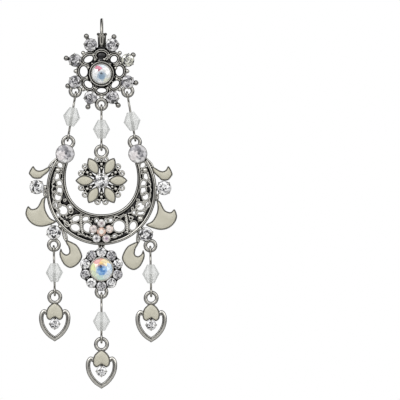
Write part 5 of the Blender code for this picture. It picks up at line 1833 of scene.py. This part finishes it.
@dataclass
class Crescent:
    """The pierced crescent: two grooved rails, a plate of scrollwork between them, cups, leaves and rings."""

    drop: float = 38.96
    rail_radius: float = 12.26
    rail_end: float = 124.0
    rail_size: tuple[float, float, float] = (0.86, 1.15, 0.11)
    inner_across: float = 8.70
    inner_down: float = 8.80
    inner_lift: float = 2.76
    squareness: float = 2.15
    inner_end: float = 112.0
    inner_size: tuple[float, float, float] = (0.92, 1.15, 0.30)
    horn_stone: tuple[float, float, float] = (8.36, -30.64, 2.12)
    horn_ring: tuple[float, float, float] = (7.65, -27.95, 1.22)
    side_radius: float = 1.60
    drop_ring: float = 1.17
    side_stones: tuple = (
        ("upper_left", -14.86, -38.27, 0.125), ("lower_left", -10.95, -48.69, 0.130),
        ("upper_right", 14.40, -38.50, 0.130), ("lower_right", 10.20, -49.20, 0.120),
    )
    lower_rings: tuple = ((-10.95, -51.60), (11.25, -51.75))
    upper_leaf: tuple = (
        (0.19, 1.00), (0.34, 0.74), (0.49, 0.66), (0.65, 0.72), (0.81, 0.86), (1.00, 0.97), (0.98, 0.67),
        (0.85, 0.43), (0.67, 0.20), (0.56, 0.04), (0.38, 0.00), (0.20, 0.05), (0.07, 0.25), (0.00, 0.49),
    )
    middle_leaf: tuple = (
        (0.08, 0.67), (0.00, 0.42), (0.12, 0.17), (0.34, 0.02), (0.62, 0.00), (1.00, 0.15), (0.80, 0.29),
        (0.66, 0.54), (0.63, 0.77), (0.66, 1.00), (0.53, 0.91), (0.46, 0.77), (0.37, 0.63), (0.21, 0.58),
    )
    lower_leaf: tuple = (
        (0.30, 1.00), (0.55, 0.93), (0.79, 0.81), (0.97, 0.56), (1.00, 0.36), (0.79, 0.11), (0.49, 0.00),
        (0.22, 0.11), (0.04, 0.36), (0.00, 0.54), (0.07, 0.69), (0.16, 0.56), (0.31, 0.49), (0.43, 0.56),
        (0.40, 0.74), (0.30, 0.88),
    )

    def leaves(self) -> tuple:
        """Each leaf's name, side, outline, size, and its centre and its stem's end, across and down.

        Returns:
            One row for each leaf.
        """
        return (
            ("left_upper", -1, self.upper_leaf, (4.85, 2.95), (14.28, 34.95), (10.20, 31.90)),
            ("left_middle", -1, self.middle_leaf, (7.10, 7.00), (13.95, 43.88), (12.90, 39.30)),
            ("left_lower", -1, self.lower_leaf, (5.20, 6.45), (7.08, 53.70), (8.85, 47.90)),
            ("right_upper", 1, self.upper_leaf, (4.70, 3.35), (14.00, 35.15), (10.20, 31.90)),
            ("right_middle", 1, self.middle_leaf, (7.20, 7.00), (13.80, 44.60), (12.75, 40.20)),
            ("right_lower", 1, self.lower_leaf, (5.20, 6.60), (7.35, 54.10), (8.80, 48.00)),
        )

    def outer(self, turns: np.ndarray) -> np.ndarray:
        """The outer rail's points at these turns from straight down: a circle."""
        return np.stack([np.sin(turns), -np.cos(turns)], axis=1) * self.rail_radius

    def inner(self, turns: np.ndarray) -> np.ndarray:
        """The inner rail: a circle, its sine and cosine to the power 2 / squareness, stretched.

        Args:
            turns: turns from straight down.

        Returns:
            The rail's points across and up.
        """
        power = 2 / self.squareness
        sine, cosine = np.sin(turns), np.cos(turns)
        across = np.sign(sine) * np.abs(sine) ** power * self.inner_across
        down = np.sign(cosine) * np.abs(cosine) ** power * self.inner_down
        return np.stack([across, self.inner_lift - down], axis=1)

    @staticmethod
    def grooved(width: float, depth: float, line: float, groove: float = 0.16) -> tuple[
        np.ndarray, np.ndarray
    ]:
        """A rail's section: flat back, and a bright dome in front with a thin black groove down its middle,
        its oxide, and flanks painted black, painted shade where they turn away.

        Args:
            width: the rail's width.
            depth: the rail's depth.
            line: half the black line's width as a share of half the rail's.
            groove: the groove's depth as a share of the rail's.

        Returns:
            The section's points and a colour for each.
        """
        u = np.linspace(-1, 1, 41)
        dome = 0.5 * np.sqrt(1 - (0.94 * u) ** 2) - groove * np.clip(1 - np.abs(u) / 0.2, 0, 1)
        front = np.stack([u * width / 2, dome * depth], axis=1)
        back = np.array(((0.5, -0.40), (0.42, -0.5), (-0.42, -0.5), (-0.5, -0.40))) * (width, depth)
        section = np.concatenate([front, back])
        tint = white(len(section))
        middle = np.abs(u[:-1] + 1 / 40)
        # Black in the groove's line is its oxide; black past 0.78 of the half width is painted shade on
        # flanks that turn away.
        tint[:40] *= np.interp(middle, (line, line + 0.07, 0.60, 0.78), (0.07, 1.0, 1.0, 0.07))[:, None]
        return section, tint

    def build(self, shop: Workshop) -> None:
        """Builds the casting, its stones and its enamel leaves.

        Args:
            shop: what makes the pieces.
        """
        center = np.array((0.0, -self.drop))
        parts = [*self.rails(center), self.pierced_plate(center)]
        for shell in (join(LEFT_LACE.shells()).mirrored(), join(RIGHT_LACE.shells())):
            parts.append(shell.moved((0, 0, -self.drop)))
        across, up, radius = self.horn_stone
        cup = ClawCup(radius, claws=0)
        # The horn stones' greys on clear crystal: painted reflections, with white patches as painted
        # highlights and dark patches as painted dark reflections.
        horn_reflection_paint = coating_and_reflection_paint("#CBC9CB", (
            (-0.35, -0.15, 0.55, "#E7E1E2"), (0.40, 0.10, 0.42, "#A9A8AC"), (0.20, 0.42, 0.24, "#6C6B71"),
            (0.48, -0.24, 0.20, "#727178"), (0.12, 0.05, 0.15, "#48474D"), (-0.34, 0.46, 0.24, "#A8A6AB"),
            (0.0, -0.68, 0.24, "#FFFFFF"), (0.62, 0.30, 0.18, "#55545B"), (-0.62, 0.10, 0.16, "#FBF8F9"),
            (-0.10, 0.75, 0.22, "#7F7E84"), (0.75, -0.10, 0.18, "#D6D5D9"), (-0.05, -0.35, 0.12, "#98969C"),
            (-0.75, 0.42, 0.14, "#8C8A90"), (0.30, -0.62, 0.14, "#84838A"),
        ))
        for side in Side:
            parts.append(cup.metal((side.value * across, up)))
            parts.append(
                torus(
                    on_face((side.value * self.horn_ring[0], self.horn_ring[1])), self.horn_ring[2],
                    RING_TUBE,
                )
            )
            word = side.name.lower()
            stone = cup.stone((side.value * across, up), 12 + side.value, horn_reflection_paint)
            shop.piece(f"horn_{word}_cut", stone, CRYSTAL, Body.CRESCENT, [f"horn_stone_{word}"])
        parts += [torus(on_face(place), self.drop_ring, RING_TUBE) for place in self.lower_rings]
        cup = ClawCup(self.side_radius, claw_wire=0.17)
        for number, (name, side_across, side_up, share) in enumerate(self.side_stones):
            place = np.array((side_across, side_up))
            cup.first_claw = 45.0 if side_up > -45 else 20.0
            parts.append(cup.metal(place))
            joint = center + (place - center) * (1 - share)
            parts.append(ball(on_face(joint), 0.55, 9, 14))
            stone = cup.stone(place, 60 + number)
            shop.piece(f"side_{name}_cut", stone, CRYSTAL, Body.CRESCENT, [f"side_stone_{name}"])
        for name, side, shares, size, middle, root in self.leaves():
            toward = np.array((side, -1))
            flat = (np.array(shares) - 0.5) * size * (-side, 1) + middle * toward
            pad = Pad(spline(flat, 8, closed=True), shoulder=1.3, rise=0.36)
            parts.append(pad.tray())
            parts += self.stem(flat, root * toward)
            shop.piece(f"leaf_{name}_enamel", pad.enamel(), ENAMEL, Body.CRESCENT, [f"leaf_{name}"])
        shop.piece("crescent_casting", join(parts), SILVER, Body.CRESCENT, ["crescent_frame"])

    def rails(self, center: np.ndarray) -> list[Shell]:
        """The two rails.

        Args:
            center: the crescent's centre.

        Returns:
            The closed shells.
        """
        result = []
        for curve, end, size in (
            (self.outer, self.rail_end, self.rail_size), (self.inner, self.inner_end, self.inner_size)
        ):
            turns = np.radians(np.linspace(-end, end, 161))
            section, tint = self.grooved(*size)
            result.append(carried(on_face(curve(turns) + center), section, tint=tint))
        return result

    def pierced_plate(self, center: np.ndarray) -> Shell:
        """The blackened plate between the rails, with all its openings.

        Args:
            center: the crescent's centre.

        Returns:
            The closed shell.
        """
        outer = self.outer(np.radians(np.linspace(-self.rail_end + 8, self.rail_end - 8, 97)))
        inner = self.inner(np.radians(np.linspace(self.inner_end - 8, -self.inner_end + 8, 97)))
        outline = np.concatenate([outer, inner]) + center
        holes = []
        for side, lace in ((Side.LEFT, LEFT_LACE), (Side.RIGHT, RIGHT_LACE)):
            for across, up, long_half, short_half, turn in lace.openings:
                place = center + (side.value * across, up)
                holes.append(oval(place, (long_half, short_half), side.value * turn))
        return plate(outline, lambda p: np.full(len(p), 0.10), 0.38, holes, tint=OXIDE_TINT)

    def stem(self, outline: np.ndarray, end: np.ndarray) -> list[Shell]:
        """Two tapering bars with a slit between them, from the leaf's nearest corner to the rail.

        Args:
            outline: the leaf's outline.
            end: the stem's end on the metal that carries it.

        Returns:
            The closed shells.
        """
        nearest = outline[np.argmin(np.linalg.norm(outline - end, axis=1))]
        along = unit(end - nearest)
        side = np.array((-along[1], along[0]))
        parts = []
        for sign in (-1, 1):
            flat = spline(
                (
                    nearest - along * 0.4, nearest + along * 0.4 + side * sign * 0.26,
                    (nearest + end) / 2 + side * sign * 0.30, end + along * 0.4 + side * sign * 0.16,
                ),
                6,
            )
            parts.append(ridge(flat, 0.25, 0.36))
        return parts


@dataclass
class Blossom:
    """Six small iridescent stones in their cups, on the middle of the crescent."""

    drop: float = 48.55
    reach: float = 1.93
    core: float = 1.05
    petal: float = 0.92
    lift: float = 0.975
    # the stones' painted colours, coating tints with painted reflections light and dark, from the top one
    # leftwards round to the middle one: edge, ring, heart
    coating_and_reflection_tints: tuple = (
        ("#F1EEEC", "#E4DDDC", "#9C8E90"), ("#EFE2DD", "#E9E2E0", "#B7AFAE"),
        ("#F1F0F0", "#DEDCDF", "#58565C"), ("#F0E9E7", "#E0D0D6", "#8F7C90"),
        ("#EAD6CC", "#F3EBE6", "#DCD2CC"), ("#DFB6A1", "#F0E0D6", "#FBF8F4"),
    )

    def build(self, shop: Workshop) -> None:
        """Builds the cups as one casting, and the six stones as one piece.

        Args:
            shop: what makes the pieces.
        """
        center = np.array((0.0, -self.drop))
        stones, metal = [], []
        paints = [
            coating_and_reflection_paint(ground, ((0.0, 0.0, 0.62, ring), (0.05, 0.0, 0.36, heart)))
            for ground, ring, heart in self.coating_and_reflection_tints
        ]
        places = np.concatenate([circle(5, self.reach, math.pi / 2), [(0.0, 0.0)]]) + center
        for number, place in enumerate(places):
            radius = self.core if number == 5 else self.petal
            cup = ClawCup(radius, claw_wire=0.15, depth=0.5, claws=4, first_claw=90 + 72 * number + 45)
            metal.append(cup.metal(place, self.lift - 0.05 * (number < 5)))
            stones.append(
                Brilliant(radius * 0.97).shell(on_face(place, self.lift + 0.60), number, paints[number])
            )
        shop.piece("blossom_cups", join(metal), SILVER, Body.CRESCENT, ["blossom"])
        shop.piece("blossom_stones", join(stones), IRIDESCENT, Body.CRESCENT, ["blossom"])


@dataclass
class Halo:
    """Ten small stones in their cups round a bezel, with the neck above and the ring below."""

    drop: float = 57.18
    circle_radius: float = 3.90
    stone_radius: float = 1.13
    center_radius: float = 2.58
    ring_drop: float = 62.42
    ring_radius: float = 1.17
    neck: tuple[float, float, float] = (0.72, -53.28, -51.42)

    def build(self, shop: Workshop) -> None:
        """Builds the casting, the ten stones as one piece, and the centre stone.

        Args:
            shop: what makes the pieces.
        """
        center = np.array((0.0, -self.drop))
        metal = [Bezel(self.center_radius, wall=0.20, gap=0.08, rim=0.12, lip=0.10).metal(center)]
        stones = []
        for number, place in enumerate(circle(10, self.circle_radius, math.pi / 2) + center):
            cup = ClawCup(self.stone_radius, claws=3, claw_wire=0.12, depth=1.05, first_claw=30 + 36 * number)
            metal.append(cup.metal(place, -0.1))
            # Painted facet reflections: the misty set on every other stone, the default set on the rest.
            tones = MISTY_REFLECTION_TONES if number in (1, 3, 5, 7, 9) else Brilliant(1.0).tones
            stone = Brilliant(self.stone_radius * 0.98, tones=tones)
            stones.append(stone.shell(on_face(place, GIRDLE_HEIGHT - 0.1), 90 + number, turn=22.5))
        metal.append(plate(circle(40, 4.55) + center, lambda p: np.full(len(p), -0.15), 0.5, tint=OXIDE_TINT))
        half, low, high = self.neck
        neck = np.array(((-half, low - 0.6), (half, low - 0.6), (half, high), (-half, high)))
        metal.append(plate(neck, lambda p: np.full(len(p), 0.3), 0.42, tint=OXIDE_TINT))
        for sign in (-1, 0, 1):
            bar = np.array(((sign * half * 0.85, low), (sign * half * 0.85, high - 0.02)))
            metal.append(tube(on_face(bar, 0.32), 0.17, 10))
        metal.append(torus(on_face((0, -self.ring_drop)), self.ring_radius, RING_TUBE))
        metal.append(ball(on_face((0, -61.2), 0.1), 0.5, 8, 12))
        # The centre stone: coating colours round its crown and a blue table, with painted highlights and
        # painted dark reflections in the table.
        paint = coating_and_reflection_paint("#F5F6EF", (
            (0.0, 0.80, 0.55, "#EDAE92"), (-0.42, 0.66, 0.34, "#F0B3B0"), (0.04, 0.58, 0.24, "#E5BE78"),
            (0.46, 0.66, 0.30, "#F3E2B4"), (-0.80, 0.14, 0.36, "#E9EFB6"), (-0.66, -0.50, 0.34, "#E2EED2"),
            (0.78, 0.10, 0.40, "#CBE1F7"), (0.62, -0.52, 0.34, "#E6EFF8"), (0.0, -0.82, 0.34, "#D6EFE2"),
            (0.03, -0.10, 0.47, "#79A8DC"), (0.06, -0.14, 0.30, "#3F7FC2"), (-0.08, 0.26, 0.15, "#39465F"),
            (-0.20, -0.24, 0.13, "#A3CCF2"), (0.22, 0.02, 0.11, "#B5D8F6"), (0.05, -0.33, 0.12, "#86B7E6"),
        ))
        shop.piece("halo_casting", join(metal), SILVER, Body.CRESCENT, ["halo"])
        shop.piece("halo_stones", join(stones), CRYSTAL, Body.CRESCENT, ["halo"])
        stone = Brilliant(self.center_radius).shell(on_face(center, GIRDLE_HEIGHT), 3, paint, 5.0)
        shop.piece("halo_center_cut", stone, IRIDESCENT, Body.CRESCENT, ["halo_center_stone"])


@dataclass
class Heart:
    """A heart drop: ring, upturned enamel heart, wide grooved frame and a claw-set stone below the enamel."""

    name: str
    across: float
    drop: float
    ring_radius: float = 1.30
    top: float = 3.34
    tip: float = 9.60
    half_width: float = 3.08
    wire: tuple[float, float] = (1.04, 0.92)
    groove: float = -0.34
    enamel_top: float = 1.28
    enamel_bottom: float = 5.20
    enamel_half: float = 1.88
    notch: float = 0.17
    stone_drop: float = 6.20
    stone_radius: float = 1.15
    frame_shares: tuple = (
        (0.58, 0.95), (0.80, 1.00), (0.97, 0.89), (1.00, 0.71), (0.92, 0.51), (0.71, 0.31), (0.39, 0.13)
    )
    enamel_shares: tuple = (
        (0.42, 0.88), (0.78, 0.70), (0.96, 0.50), (1.00, 0.30), (0.90, 0.10), (0.60, 0.00), (0.28, 0.08)
    )

    def build(self, shop: Workshop) -> None:
        """Builds the frame, the enamel and the stone.

        Args:
            shop: what makes the pieces.
        """
        center = np.array((self.across, -self.drop))
        shares = np.array(self.frame_shares)
        right = shares * (self.half_width, self.tip - self.top) - (0, self.tip)
        half_path = spline(np.concatenate([right, [(0.0, -self.tip)]]), 8)
        path = np.concatenate([half_path * (-1, 1), half_path[:-1][::-1]]) + center
        section, tint = self.section()
        parts = [
            carried(on_face(path), section, tint=tint), torus(on_face(center), self.ring_radius, RING_TUBE)
        ]
        for end in (path[0], path[-1]):
            parts.append(ball(on_face(end, 0.0), 0.48, 8, 12))
        shares = np.array(self.enamel_shares)
        low, high = -self.enamel_bottom, -self.enamel_top
        right = shares * (self.enamel_half, high - low) + (0, low)
        side = spline(np.concatenate([[(0.0, high)], right, [(0.0, low + self.notch * (high - low))]]), 7)
        outline = np.concatenate([side, side[1:-1][::-1] * (-1, 1)]) + center
        pad = Pad(grown(outline, 0.12), shoulder=1.0, rise=0.40)
        cup = ClawCup(self.stone_radius, claw_wire=0.16, first_claw=0.0)
        place = center - (0, self.stone_drop)
        post = np.array((center + (0, low + 0.8), place + (0, self.stone_radius * 0.8)))
        parts += [pad.tray(), cup.metal(place), tube(on_face(post, -0.1), 0.32, 10)]
        shop.piece(
            f"heart_{self.name}_casting", join(parts), SILVER, Body.CRESCENT,
            [f"heart_frame_{self.name}"],
        )
        shop.piece(
            f"heart_{self.name}_enamel", pad.enamel(), ENAMEL, Body.CRESCENT,
            [f"heart_enamel_{self.name}"],
        )
        shop.piece(
            f"heart_{self.name}_cut", cup.stone(place, 20 + int(self.drop)), CRYSTAL, Body.CRESCENT,
            [f"heart_stone_{self.name}"],
        )

    def section(self) -> tuple[np.ndarray, np.ndarray]:
        """The frame's section: a broad round ridge whose flanks are painted black, painted shade where they
        turn away, and a groove on its inner side.

        Returns:
            The section's points and a colour for each.
        """
        width, depth = self.wire
        u = np.linspace(-1, 1, 29)
        groove = np.clip(1 - np.abs(u - self.groove) / 0.2, 0, 1)
        dome = 0.5 * np.sqrt(1 - (0.93 * u) ** 2) - 0.14 * groove
        front = np.stack([u * width / 2, depth * dome], axis=1)
        back = np.array(((0.48, -0.42), (0.40, -0.5), (-0.40, -0.5), (-0.48, -0.42))) * (width, depth)
        section = np.concatenate([front, back])
        tint = white(len(section))
        middle = u[:-1] + 1 / 28
        # Painted shade: the flanks fall to 0.07 as they turn away; the groove's black line is its oxide.
        painted_flank_shade = np.interp(np.abs(middle), (0.66, 0.84), (1.0, 0.07))
        line = np.interp(np.abs(middle - self.groove), (0.13, 0.24), (0.05, 1.0))
        tint[:28] *= (painted_flank_shade * line)[:, None]
        return section, tint


def main() -> None:
    logging.basicConfig(level=logging.INFO, format="%(message)s")
    shop = Workshop()
    Studio().build()
    for part in (
        EarWire(), Rosette(), Links(), Flower(), Crescent(), Blossom(), Halo(),
        Heart("left", -10.75, 63.57), Heart("center", 0.0, 74.45), Heart("right", 11.42, 63.80),
    ):
        LOG.info("building %s", type(part).__name__)
        part.build(shop)


if __name__ == "__main__":
    main()
